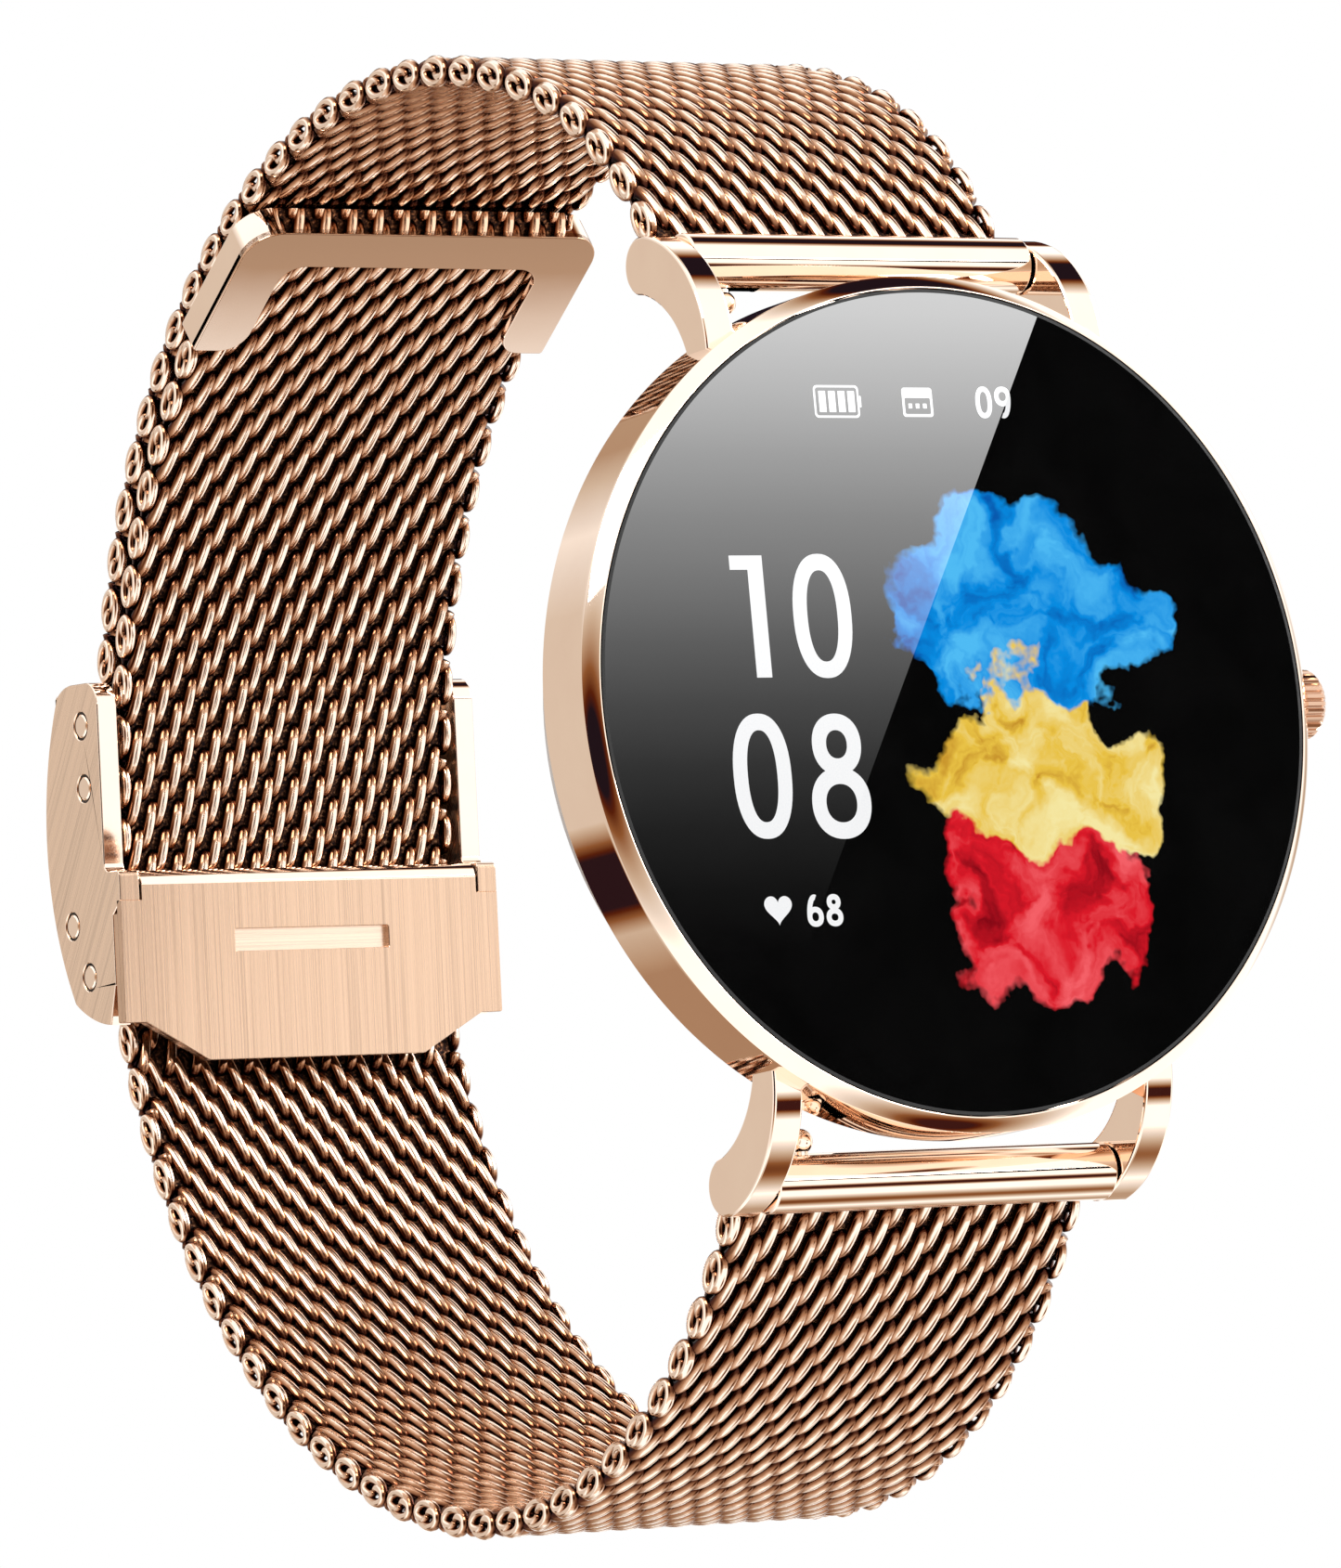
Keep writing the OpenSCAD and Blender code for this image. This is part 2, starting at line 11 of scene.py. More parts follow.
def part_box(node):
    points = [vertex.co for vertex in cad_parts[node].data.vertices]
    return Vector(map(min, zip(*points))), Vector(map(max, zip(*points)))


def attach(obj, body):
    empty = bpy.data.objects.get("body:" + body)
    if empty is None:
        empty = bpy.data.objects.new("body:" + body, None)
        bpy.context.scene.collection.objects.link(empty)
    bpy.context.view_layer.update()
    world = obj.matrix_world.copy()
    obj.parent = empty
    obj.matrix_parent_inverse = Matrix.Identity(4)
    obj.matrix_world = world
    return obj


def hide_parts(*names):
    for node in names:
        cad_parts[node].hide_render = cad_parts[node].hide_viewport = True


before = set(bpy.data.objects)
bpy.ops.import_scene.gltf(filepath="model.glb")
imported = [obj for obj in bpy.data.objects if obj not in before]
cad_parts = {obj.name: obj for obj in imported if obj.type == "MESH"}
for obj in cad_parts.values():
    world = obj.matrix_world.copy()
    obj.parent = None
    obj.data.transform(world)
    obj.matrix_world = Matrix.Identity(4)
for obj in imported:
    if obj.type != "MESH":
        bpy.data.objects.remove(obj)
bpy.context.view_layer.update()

MM = 0.001
DEG = math.pi / 180


# ---- sizes, from the CAD nodes (millimetres)

def span(node, axis):
    lo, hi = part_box(node)
    return lo[axis] / MM, hi[axis] / MM


CASE_R = span("bezel_ring", 0)[1]
FRONT = span("cover_glass", 1)[0]
GLASS_R = span("cover_glass", 0)[1]
GLASS_BACK = span("cover_glass", 1)[1]
SEAT = span("bezel_ring", 1)[1]
RIM_R = GLASS_R + 0.1
CROWN_Y = sum(span("crown_cap", 1)) / 2
CROWN_R = (span("crown_cap", 1)[1] - span("crown_cap", 1)[0]) / 2
CROWN_X0, CROWN_X1 = span("crown_cap", 0)
MESH_H = span("upper_mesh_a", 0)[1]
BAR_Y = sum(span("upper_bar_barrel", 1)) / 2
BAR_Z = sum(span("upper_bar_barrel", 2)) / 2
TUBE_X0, TUBE_X1 = span("upper_end_tube", 0)
TUBE_R = BAR_Y - span("upper_end_tube", 1)[0]
KNOB_X = sum(span("upper_release_pin", 0)) / 2
CHEEK_OUT = span("clasp_frame", 0)[1]
CHEEK_T = 1.2
CHEEK_IN = CHEEK_OUT - CHEEK_T
LUG_IN, LUG_T = 9.95, 1.65
# the band's loop: centre, outer radius, thickness
LOOP_Y, LOOP_R, MESH_T = 22.3, 37.4, 1.55
UPPER_Y, UPPER_Z, UPPER_R = LOOP_Y + 1.35, 2.1, LOOP_R - 1.85
ARC_MID = LOOP_R - MESH_T / 2
UPPER_MID = UPPER_R - MESH_T / 2
TAIL_MID = UPPER_R - 2.57
# the bend at each end tube: the arc's centre and radius, where the bend starts, its radius, where it ends
UPPER_ROOT = (UPPER_Y, UPPER_Z, UPPER_R, 115, 22, 154.6)
LOWER_ROOT = (LOOP_Y, 0, LOOP_R, 85, 28, 151.2)
# the tail's straight stretch and the bend into the lower half
LINE_A, BEND_R = 9, 12
LINE_D = TAIL_MID + (UPPER_Y - LOOP_Y) * math.cos(LINE_A * DEG) + UPPER_Z * math.sin(LINE_A * DEG)
LINE_UP = UPPER_Z * math.cos(LINE_A * DEG) - (UPPER_Y - LOOP_Y) * math.sin(LINE_A * DEG)
BEND_A = math.degrees(math.acos((LINE_D - BEND_R) / (ARC_MID - BEND_R)))
LOW_A = BEND_A - LINE_A
LINE_L = (ARC_MID - BEND_R) * math.sin(BEND_A * DEG) + LINE_UP
FERRULE_A = 14.2
KEEPER_A, KEEPER_UP, KEEPER_END, KEEPER_H = 57, 1.2, 8.38, 4.45
KEEPER_MID = UPPER_Z * math.cos(KEEPER_A * DEG) - UPPER_Y * math.sin(KEEPER_A * DEG) + KEEPER_UP
CLASP_Y, CLASP_Z, CLASP_TILT = 57.1, 2.0, 4.5


def root_centre(q):
    """Centre of the bend next to the case."""
    return q[0] + (q[2] - q[4]) * math.cos(q[3] * DEG), q[1] + (q[2] - q[4]) * math.sin(q[3] * DEG)


# ---- mesh helpers

def in_scene(name, data):
    """An object for a mesh, light or camera, linked to the scene."""
    obj = bpy.data.objects.new(name, data)
    bpy.context.scene.collection.objects.link(obj)
    return obj


def new_mesh(name, verts, faces):
    """A mesh object from millimetre points and faces of any length."""
    mesh = bpy.data.meshes.new(name)
    points = [tuple(c * MM for c in v) for v in verts]
    mesh.from_pydata(points, [], [tuple(int(i) for i in f) for f in faces])
    mesh.validate()
    mesh.polygons.foreach_set("use_smooth", [True] * len(mesh.polygons))
    return in_scene(name, mesh)


def quad_mesh(name, verts, quads):
    """A large all-quad mesh from arrays, made quickly."""
    mesh = bpy.data.meshes.new(name)
    mesh.vertices.add(len(verts))
    mesh.vertices.foreach_set("co", (verts * MM).astype(np.float32).ravel())
    mesh.loops.add(quads.size)
    mesh.loops.foreach_set("vertex_index", quads.astype(np.int32).ravel())
    mesh.polygons.add(len(quads))
    mesh.polygons.foreach_set("loop_start", np.arange(0, quads.size, 4, dtype=np.int32))
    mesh.polygons.foreach_set("use_smooth", np.ones(len(quads), dtype=bool))
    mesh.update(calc_edges=True)
    return in_scene(name, mesh)


def tidy_normals(obj, sharp=14):
    """Outward faces, and crisp edges wherever two faces turn by more than a few degrees."""
    bm = bmesh.new()
    bm.from_mesh(obj.data)
    bmesh.ops.remove_doubles(bm, verts=bm.verts, dist=1e-7)
    bmesh.ops.recalc_face_normals(bm, faces=bm.faces)
    bm.to_mesh(obj.data)
    bm.free()
    obj.data.set_sharp_from_angle(angle=sharp * DEG)
    return obj


def join(name, objs):
    """One object out of several."""
    with bpy.context.temp_override(active_object=objs[0], selected_editable_objects=objs):
        bpy.ops.object.join()
    objs[0].name = name
    objs[0].data.name = name
    return objs[0]


def rounded(profile, r, steps=0):
    """A closed profile with small arcs for corners; a corner may carry its own radius as a third number."""
    out = []
    n = len(profile)
    for i, p in enumerate(profile):
        rad = p[2] if len(p) > 2 else r
        here = np.array(p[:2], float)
        if rad <= 0:
            out.append(tuple(here))
            continue
        a = np.array(profile[i - 1][:2], float) - here
        b = np.array(profile[(i + 1) % n][:2], float) - here
        la, lb = np.linalg.norm(a), np.linalg.norm(b)
        a, b = a / la, b / lb
        half = math.acos(max(-1, min(1, float(a @ b)))) / 2
        cut = min(rad / math.tan(half), la * 0.48, lb * 0.48)
        real = cut * math.tan(half)
        centre = here + (a + b) / np.linalg.norm(a + b) * (real / math.sin(half))
        p0, p1 = here + a * cut - centre, here + b * cut - centre
        count = steps or (2 if rad < 0.1 else 10)
        for k in range(count + 1):
            t = k / count
            d = p0 * (1 - t) + p1 * t
            out.append(tuple(centre + d / np.linalg.norm(d) * real))
    return out


def turned(name, profile, segs, place, closed=False):
    """Turns (radius, along) pairs, closed or from axis to axis; place(a, b, along) puts points."""
    m = len(profile)
    verts, faces = [], []
    for k in range(segs):
        c, s = math.cos(k * math.tau / segs), math.sin(k * math.tau / segs)
        verts += [place(r * c, r * s, along) for r, along in profile]
        row, after = k * m, (k + 1) % segs * m
        for j in range(m if closed else m - 1):
            n = (j + 1) % m
            faces.append((row + j, row + n, after + n, after + j))
    return tidy_normals(new_mesh(name, verts, faces))


def lathe(name, profile, segs=480):
    """Turns a closed profile of (radius, depth) pairs about the case's axis."""
    return turned(name, rounded(profile, 0.05), segs, lambda a, b, depth: (a, depth, b), True)


def inset(loop, d):
    """A loop moved d to its left, which is into the material."""
    p = np.array(loop, float)
    e = np.roll(p, -1, 0) - p
    e /= np.maximum(np.linalg.norm(e, axis=1, keepdims=True), 1e-9)
    left = np.stack([-e[:, 1], e[:, 0]], 1)
    miter = left + np.roll(left, 1, 0)
    miter /= np.maximum((miter ** 2).sum(1, keepdims=True), 0.4) / 2
    return p + miter * d


def area(loop):
    """Area of a loop, positive where it runs anticlockwise."""
    p = np.array(loop, float)
    q = np.roll(p, -1, 0)
    return float((p[:, 0] * q[:, 1] - p[:, 1] * q[:, 0]).sum() / 2)


def plate(name, loops, t0, t1, place, edge=0.08, steps=3):
    """A flat plate with rounded edges: loops[0] is its outline and the rest are holes; place(a, b, t) puts a
    point of the plate in millimetres."""
    loops = [np.array(q, float) for q in loops]
    loops = [q if (area(q) > 0) == (i == 0) else q[::-1] for i, q in enumerate(loops)]
    levels = [(0, t0)]
    if edge:
        turns = [k / steps * math.pi / 2 for k in range(steps + 1)]
        levels = [(edge * (1 - math.sin(a)), t0 + edge * (1 - math.cos(a))) for a in turns]
    levels += [(d, t0 + t1 - t) for d, t in reversed(levels)]
    verts, faces, front, back = [], [], [], []
    for q in loops:
        n = len(q)
        rings = [len(verts) + k * n for k in range(len(levels))]
        for d, t in levels:
            verts += [tuple(place(a, b, t)) for a, b in inset(q, d)]
        for r0, r1 in zip(rings, rings[1:]):
            faces += [(r0 + i, r0 + (i + 1) % n, r1 + (i + 1) % n, r1 + i) for i in range(n)]
        front += range(rings[0], rings[0] + n)
        back += range(rings[-1], rings[-1] + n)
    for tri in tessellate_polygon([[Vector((a, b, 0)) for a, b in q] for q in loops]):
        faces += [[front[i] for i in tri], [back[i] for i in reversed(tri)]]
    return tidy_normals(new_mesh(name, verts, faces))


def arc(cx, cy, r, a0, a1, n=24):
    """Points on a circle, angles in degrees."""
    return [(cx + r * math.cos(a * DEG), cy + r * math.sin(a * DEG)) for a in np.linspace(a0, a1, n)]


def round_rect(x0, y0, x1, y1, r):
    """A rectangle between two corners, rounded."""
    return rounded([(x0, y0), (x1, y0), (x1, y1), (x0, y1)], r, 10)


def tube_along(path, radius, sides=10):
    """Vertices and quads of a wire with closed ends that follows path; radius may change along it."""
    n = len(path)
    radius = np.broadcast_to(np.array(radius, float), (n,))
    tan = np.gradient(path, axis=0)
    tan /= np.linalg.norm(tan, axis=1, keepdims=True)
    u = np.array((1.0, 0.0, 0.0)) - tan[:, :1] * tan
    u /= np.linalg.norm(u, axis=1, keepdims=True)
    w = np.cross(tan, u)
    ang = (np.arange(sides) * math.tau / sides)[None, :, None]
    ring = (u[:, None, :] * np.cos(ang) + w[:, None, :] * np.sin(ang)) * radius[:, None, None]
    verts = (path[:, None, :] + ring).reshape(-1, 3)
    i, j = np.meshgrid(np.arange(n - 1), np.arange(sides), indexing="ij")
    quads = np.stack([i * sides + j, i * sides + (j + 1) % sides,
                      (i + 1) * sides + (j + 1) % sides, (i + 1) * sides + j], -1).reshape(-1, 4)
    ends = []
    for base, flip in ((0, 1), ((n - 1) * sides, 0)):
        for k in range(1, sides // 2):
            q = [base + k - 1, base + k, base + sides - k - 1, base + (sides - k) % sides]
            ends.append(q[::-1] if flip else q)
    return verts, np.concatenate([quads, np.array(ends)])


# ---- materials

def node_mat(name, metallic, roughness):
    """A material with its node tree and its shader."""
    mat = bpy.data.materials.new(name)
    mat.use_nodes = True
    tree = mat.node_tree
    shader = next(n for n in tree.nodes if n.type == "BSDF_PRINCIPLED")
    for socket, value in (("Metallic", metallic), ("Roughness", roughness), ("IOR", 1.5)):
        shader.inputs[socket].default_value = value
    return mat, tree, shader


def add(tree, kind, **inputs):
    """A new shader node; each input, with _ for a space in its name, takes a value or a link."""
    node = tree.nodes.new("ShaderNode" + kind)
    for name, value in inputs.items():
        socket = node.inputs[name.replace("_", " ")]
        if isinstance(value, bpy.types.NodeSocket):
            tree.links.new(value, socket)
        else:
            socket.default_value = value
    return node


def coords(tree, scale=(1, 1, 1), turn=(0, 0, 0)):
    """Object coordinates in millimetres, turned and stretched."""
    where = add(tree, "TexCoord").outputs["Object"]
    first = add(tree, "Mapping", Vector=where, Rotation=[a * DEG for a in turn])
    return add(tree, "Mapping", Vector=first.outputs[0], Scale=[s / MM for s in scale]).outputs[0]


def noise(tree, vector, scale=1.0, detail=2.0, rough=0.5, distort=0.0, output="Fac"):
    return add(tree, "TexNoise", Vector=vector, Scale=scale, Detail=detail, Roughness=rough,
               Distortion=distort).outputs[output]


def ramp(tree, fac, stops):
    """A colour ramp; each stop is (place, colour) and a colour may be one grey number."""
    node = add(tree, "ValToRGB", Fac=fac)
    marks = node.color_ramp.elements
    while len(marks) < len(stops):
        marks.new(0.5)
    for mark, (at, colour) in zip(marks, stops):
        mark.position = at
        mark.color = (colour,) * 3 + (1,) if isinstance(colour, (int, float)) else tuple(colour) + (1,)
    return node.outputs["Color"]


def feed(shader, socket, fac, stops):
    """Drives a socket of the shader through a colour ramp."""
    tree = shader.id_data
    tree.links.new(ramp(tree, fac, stops), shader.inputs[socket])


def operate(tree, kind, op, *values):
    """A node that does op on its inputs, each a value, a link or None."""
    node = tree.nodes.new("ShaderNode" + kind)
    node.operation = op
    for socket, value in zip(node.inputs, values):
        if isinstance(value, bpy.types.NodeSocket):
            tree.links.new(value, socket)
        elif value is not None:
            socket.default_value = value
    return node


def math_node(tree, op, *values, clamp=False):
    node = operate(tree, "Math", op, *values)
    node.use_clamp = clamp
    return node.outputs[0]


def blend_noise(tree, a, b):
    """Seven parts of one noise to three of another."""
    return math_node(tree, "ADD", math_node(tree, "MULTIPLY", a, 0.7), math_node(tree, "MULTIPLY", b, 0.3))


def mix_colour(tree, fac, a, b):
    m = tree.nodes.new("ShaderNodeMix")
    m.data_type = "RGBA"
    for socket, value in ((m.inputs["Factor"], fac), (m.inputs["A"], a), (m.inputs["B"], b)):
        if isinstance(value, (int, float)):
            socket.default_value = value
        elif isinstance(value, tuple):
            socket.default_value = value + (1,)
        else:
            tree.links.new(value, socket)
    return m.outputs["Result"]


def bump(tree, shader, height, strength, distance=0.02):
    node = add(tree, "Bump", Strength=strength, Distance=distance * MM, Height=height)
    tree.links.new(node.outputs["Normal"], shader.inputs["Normal"])


ROSE = (1.0, 0.80, 0.66)


def shade(colour, k):
    return tuple(min(1.0, c * k) for c in colour)


def mixed(a, b, t):
    return tuple(p + (q - p) * t for p, q in zip(a, b))


def metal_polished(name, colour, rough=0.03):
    """Mirror-polished plate with faint buffing haze."""
    mat, tree, shader = node_mat(name, 1.0, rough)
    haze = noise(tree, coords(tree), 0.35, 3)
    feed(shader, "Base Color", haze, [(0.3, shade(colour, 0.97)), (0.7, shade(colour, 1.02))])
    fine = noise(tree, coords(tree), 9.0, 4)
    feed(shader, "Roughness", fine, [(0.3, rough * 0.7), (0.75, rough * 1.5)])
    return mat


def metal_painted_shade_top(name, colour, turn, low, high, dark):
    """Polished plate with painted shade: its colour grows darker towards the top of its face."""
    mat, tree, shader = node_mat(name, 1.0, 0.10)
    height = add(tree, "SeparateXYZ", Vector=coords(tree, turn=turn)).outputs["Z"]
    wave = noise(tree, coords(tree), 0.3, 2)
    part = math_node(tree, "MULTIPLY_ADD", math_node(tree, "ADD", height, wave), 1 / (high - low),
                     -(low + 0.5) / (high - low), clamp=True)
    # painted shade: the ramp darkens the colour up the face, standing in for a darker reflection
    feed(shader, "Base Color", part, [(0.0, shade(colour, 0.95)), (0.35, mixed(colour, dark, 0.45)),
                                      (0.7, dark), (1.0, shade(dark, 0.95))])
    feed(shader, "Roughness", wave, [(0.3, 0.08), (0.7, 0.12)])
    return mat


def metal_brushed(name, colour, turn, across, dark=0.84, rough=0.28, strength=0.10):
    """Straight-grained satin metal; the grain runs square to one axis after the turn."""
    mat, tree, shader = node_mat(name, 1.0, rough)
    stretch = [0.06, 0.06, 0.06]
    stretch[across] = 20.0
    grain = noise(tree, coords(tree, stretch, turn), 1.0, 4, 0.62)
    wide = noise(tree, coords(tree, [s * 0.22 for s in stretch], turn))
    both = blend_noise(tree, grain, wide)
    feed(shader, "Base Color", both, [(0.34, shade(colour, dark)), (0.5, shade(colour, 0.95)),
                                      (0.64, shade(colour, 1.02))])
    feed(shader, "Roughness", both, [(0.35, rough * 1.2), (0.65, rough * 0.85)])
    bump(tree, shader, grain, strength, 0.008)
    return mat


def metal_wire(name, colour):
    """Drawn wire with painted shade: plain metal colour on its crests, darkening to near-black down between the
    strands, led by the crest attribute with a little noise.
    """
    mat, tree, shader = node_mat(name, 1.0, 0.09)
    where = coords(tree)
    crest = add(tree, "Attribute")
    crest.attribute_name = "crest"
    painted_shade_noise = noise(tree, where, 1.2, 4, 0.6)
    level = math_node(tree, "ADD", crest.outputs["Fac"], math_node(tree, "MULTIPLY", painted_shade_noise, 0.16))
    # painted shade: the ramp runs from near-black low between the strands through brown to the metal colour at
    # the crests
    feed(shader, "Base Color", level, [
        (0.42, (0.014, 0.006, 0.008)), (0.70, (0.070, 0.020, 0.009)), (0.88, (0.33, 0.145, 0.070)),
        (0.98, (0.66, 0.42, 0.28)), (1.0, colour)])
    feed(shader, "Roughness", noise(tree, where, 6.0, 3), [(0.3, 0.06), (0.75, 0.14)])
    return mat


def mesh_core(name):
    """Painted shade inside the weave: a near-black surface with brown spots for painted glints."""
    mat, tree, shader = node_mat(name, 0.85, 0.35)
    spots = noise(tree, coords(tree), 5.0, 3, 0.6)
    feed(shader, "Base Color", spots, [(0.42, (0.012, 0.006, 0.007)), (0.55, (0.09, 0.034, 0.015)),
                                       (0.66, (0.42, 0.21, 0.11))])
    feed(shader, "Roughness", spots, [(0.4, 0.45), (0.7, 0.25)])
    bump(tree, shader, spots, 0.5, 0.10)
    return mat


def dull(name, dark, light, rough, scale=2.0, metallic=0.0, lift=0.15):
    """Speckled rubber, plastic, foil or board."""
    mat, tree, shader = node_mat(name, metallic, rough)
    grain = noise(tree, coords(tree), scale, 4, 0.6)
    feed(shader, "Base Color", grain, [(0.35, dark), (0.68, light)])
    feed(shader, "Roughness", grain, [(0.3, rough * 0.85), (0.7, min(1.0, rough * 1.15))])
    bump(tree, shader, noise(tree, coords(tree), scale * 6, 3), lift)
    return mat


def lit_white(name):
    """Lit white pixels behind the glass."""
    mat, tree, shader = node_mat(name, 0.0, 0.0)
    shader.inputs["Emission Strength"].default_value = 0.93
    pixels = noise(tree, coords(tree), 14.0, 1)
    feed(shader, "Emission Color", pixels, [(0.3, (0.93, 0.94, 0.96)), (0.7, (1.0, 1.0, 1.0))])
    feed(shader, "Base Color", pixels, [(0.3, 0.001), (0.7, 0.002)])
    return mat


def blob(tree, where, centre, size):
    """1 in the middle of an ellipse, 0 at its edge, negative outside."""
    shift = add(tree, "Mapping", Vector=where)
    shift.vector_type = "TEXTURE"
    shift.inputs["Location"].default_value = (centre[0], 0, centre[1])
    shift.inputs["Scale"].default_value = (size[0], 1000, size[1])
    length = operate(tree, "VectorMath", "LENGTH", shift.outputs["Vector"])
    return math_node(tree, "SUBTRACT", 1.0, length.outputs["Value"])


def lit_picture(name):
    """A plain abstract dial picture: three soft puffs of colour on black."""
    mat, tree, shader = node_mat(name, 0.0, 0.0)
    base = coords(tree)
    wobble = noise(tree, base, 0.26, 4, 0.52, output="Color")
    centred = operate(tree, "VectorMath", "MULTIPLY_ADD", wobble, (7.5, 0.0, 7.5), (-3.75, 0.0, -3.75))
    where = operate(tree, "VectorMath", "ADD", base, centred.outputs[0]).outputs[0]
    folds = noise(tree, where, 0.40, 4, 0.5, 0.4)
    soft = noise(tree, where, 0.22, 3, 0.5)
    light = blend_noise(tree, folds, soft)
    blue, gold, red = (ramp(tree, light, stops) for stops in (
        [(0.34, (0.0, 0.09, 0.42)), (0.48, (0.0, 0.27, 0.78)), (0.64, (0.08, 0.52, 0.95))],
        [(0.34, (0.50, 0.20, 0.01)), (0.46, (0.85, 0.56, 0.06)), (0.62, (0.96, 0.84, 0.38))],
        [(0.34, (0.22, 0.0, 0.005)), (0.48, (0.74, 0.008, 0.02)), (0.64, (0.95, 0.12, 0.14))]))
    def cover(*blobs):
        best = None
        for centre, size in blobs:
            b = blob(tree, where, centre, size)
            best = b if best is None else math_node(tree, "MAXIMUM", best, b)
        return math_node(tree, "MULTIPLY", best, 11.0, clamp=True)
    low = cover(((3.6, -9.0), (5.4, 5.6)), ((6.6, -10.4), (3.4, 4.0)))
    mid = cover(((3.4, -3.6), (6.2, 3.6)), ((7.6, -4.0), (4.8, 3.2)), ((4.6, -0.8), (3.8, 3.0)))
    top = cover(((3.0, 5.6), (6.6, 4.4)), ((8.4, 3.8), (4.0, 3.8)), ((-0.2, 3.0), (3.6, 3.2)))
    colour = mix_colour(tree, low, (0.0, 0.0, 0.0), red)
    colour = mix_colour(tree, mid, colour, gold)
    colour = mix_colour(tree, top, colour, blue)
    tree.links.new(colour, shader.inputs["Emission Color"])
    shader.inputs["Emission Strength"].default_value = 0.95
    feed(shader, "Base Color", soft, [(0.3, 0.001), (0.7, 0.002)])
    return mat


def make_materials():
    return {
        "polished": metal_polished("rose gold, polished", ROSE),
        # the crown's colour is a darker copy of the rose gold: painted shade
        "crown": metal_polished("rose gold, crown, painted shade", (0.62, 0.40, 0.28), 0.08),
        "keeper": metal_painted_shade_top("rose gold, keeper face, painted shade", ROSE, (-KEEPER_A, 0, 0), KEEPER_MID - KEEPER_H,
                              KEEPER_MID + KEEPER_H, (0.52, 0.31, 0.19)),
        "cheek": metal_brushed("rose gold, brushed across", (0.96, 0.74, 0.58), (-38, 0, 0), 1, 0.68, 0.26),
        # a darker copy of the rose gold: painted shade on the lock plate, strap, cover leaf and the cheeks'
        # step faces
        "plate": metal_brushed("rose gold, brushed upright, painted shade", (0.74, 0.51, 0.36), (0, 0, 0), 0, 0.66, 0.26),
        "wire": metal_wire("rose gold wire, painted shade between strands", shade(ROSE, 0.98)),
        # near-black: a black seal round the glass, and painted shade in the gaps round the rivets
        "gap": dull("black seal and painted gap shade", (0.001, 0.001, 0.001), (0.003, 0.003, 0.003), 0.6),
        # a near-black strip behind the wires stands in for the shade inside the weave
        "core": mesh_core("painted shade, mesh core"),
        "steel": metal_polished("steel, turned", (0.74, 0.74, 0.76), 0.16),
        "back": metal_brushed("steel, satin back", (0.70, 0.69, 0.70), (0, 0, 0), 0, 0.85, 0.34, 0.12),
        "white": lit_white("lit white"),
        "glass": lit_picture("cover glass with lit colour puffs"),
        "rubber": dull("black rubber", (0.010, 0.010, 0.011), (0.026, 0.026, 0.028), 0.62, 3.0),
        "plastic": dull("black plastic", (0.014, 0.014, 0.016), (0.030, 0.030, 0.034), 0.42, 2.0),
        "board": dull("green board", (0.010, 0.060, 0.030), (0.020, 0.110, 0.055), 0.45, 1.2),
        "foil": dull("battery foil", (0.52, 0.52, 0.55), (0.68, 0.68, 0.70), 0.36, 0.7, 0.9),
        "gold": metal_polished("gold contacts", (0.90, 0.70, 0.33), 0.14),
        "window": dull("sensor window", (0.004, 0.005, 0.006), (0.010, 0.011, 0.014), 0.07, 1.0, lift=0.0),
        "leds": dull("green lamps", (0.10, 0.45, 0.18), (0.30, 0.75, 0.35), 0.25, 2.0),
    }


CAD_LOOKS = {
    "polished": ["crown_stem", "hook_bar"],
    "steel": ["crown_clip", "crown_tube", "back_screws", "vibration_motor", "processor_shield", "cover_claw",
              "lock_pin", "upper_bar_barrel", "lower_bar_barrel", "upper_bar_tip", "lower_bar_tip"],
    "back": ["back_cover"],
    "rubber": ["display_gasket", "back_gasket", "crown_oring"],
    "plastic": ["inner_frame", "board_connector", "crown_switch"],
    "board": ["main_board", "sensor_board"],
    "foil": ["battery"],
    "gold": ["charging_pins"],
    "window": ["sensor_window", "display_panel"],
    "leds": ["sensor_leds"],
}


def dress_cad(looks):
    """Materials for the CAD nodes that are kept as they are."""
    for key, names in CAD_LOOKS.items():
        for name in names:
            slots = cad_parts[name].data.materials
            slots.clear()
            slots.append(looks[key])


def piece(obj, body, look, slot, *replaced, extra=()):
    """Gives a finished piece its material and body; extra materials go to the slots after the first."""
    kept = np.zeros(len(obj.data.polygons), dtype=np.int32)
    obj.data.polygons.foreach_get("material_index", kept)
    obj.data.materials.clear()
    for material in (look, *extra):
        obj.data.materials.append(material)
    obj.data.polygons.foreach_set("material_index", kept if extra else kept * 0)
    if "weave" not in obj.name:
        level = obj.modifiers.new("level faces", "WEIGHTED_NORMAL")
        level.keep_sharp = True
    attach(obj, body)
    if replaced:
        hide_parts(*replaced)


# ---- case, lugs, bezel, glass

def lug_outline():
    """Side view of a lug in (depth, height): a crescent that ends in a rounded knuckle."""
    c1, r1 = (FRONT + 8.13, 17.63), 6.56
    c2, r2 = (FRONT + 8.75, 15.94), 5.47
    cb, rb = (FRONT + 6.9, 22.55), 1.45
    foot = 17.1
    toward1 = math.degrees(math.atan2(cb[1] - c1[1], cb[0] - c1[0]))
    toward2 = math.degrees(math.atan2(cb[1] - c2[1], cb[0] - c2[0]))
    low1 = 180 - math.degrees(math.asin((foot - c1[1]) / r1))
    low2 = 180 - math.degrees(math.asin((foot - c2[1]) / r2))
    outer = arc(*c1, r1, low1, toward1, 40)
    knuckle = arc(*cb, rb, toward1, toward2 - 180 + 6, 28)[1:]
    inner = arc(*c2, r2, toward2 + 3, low2, 36)
    return outer + knuckle + inner


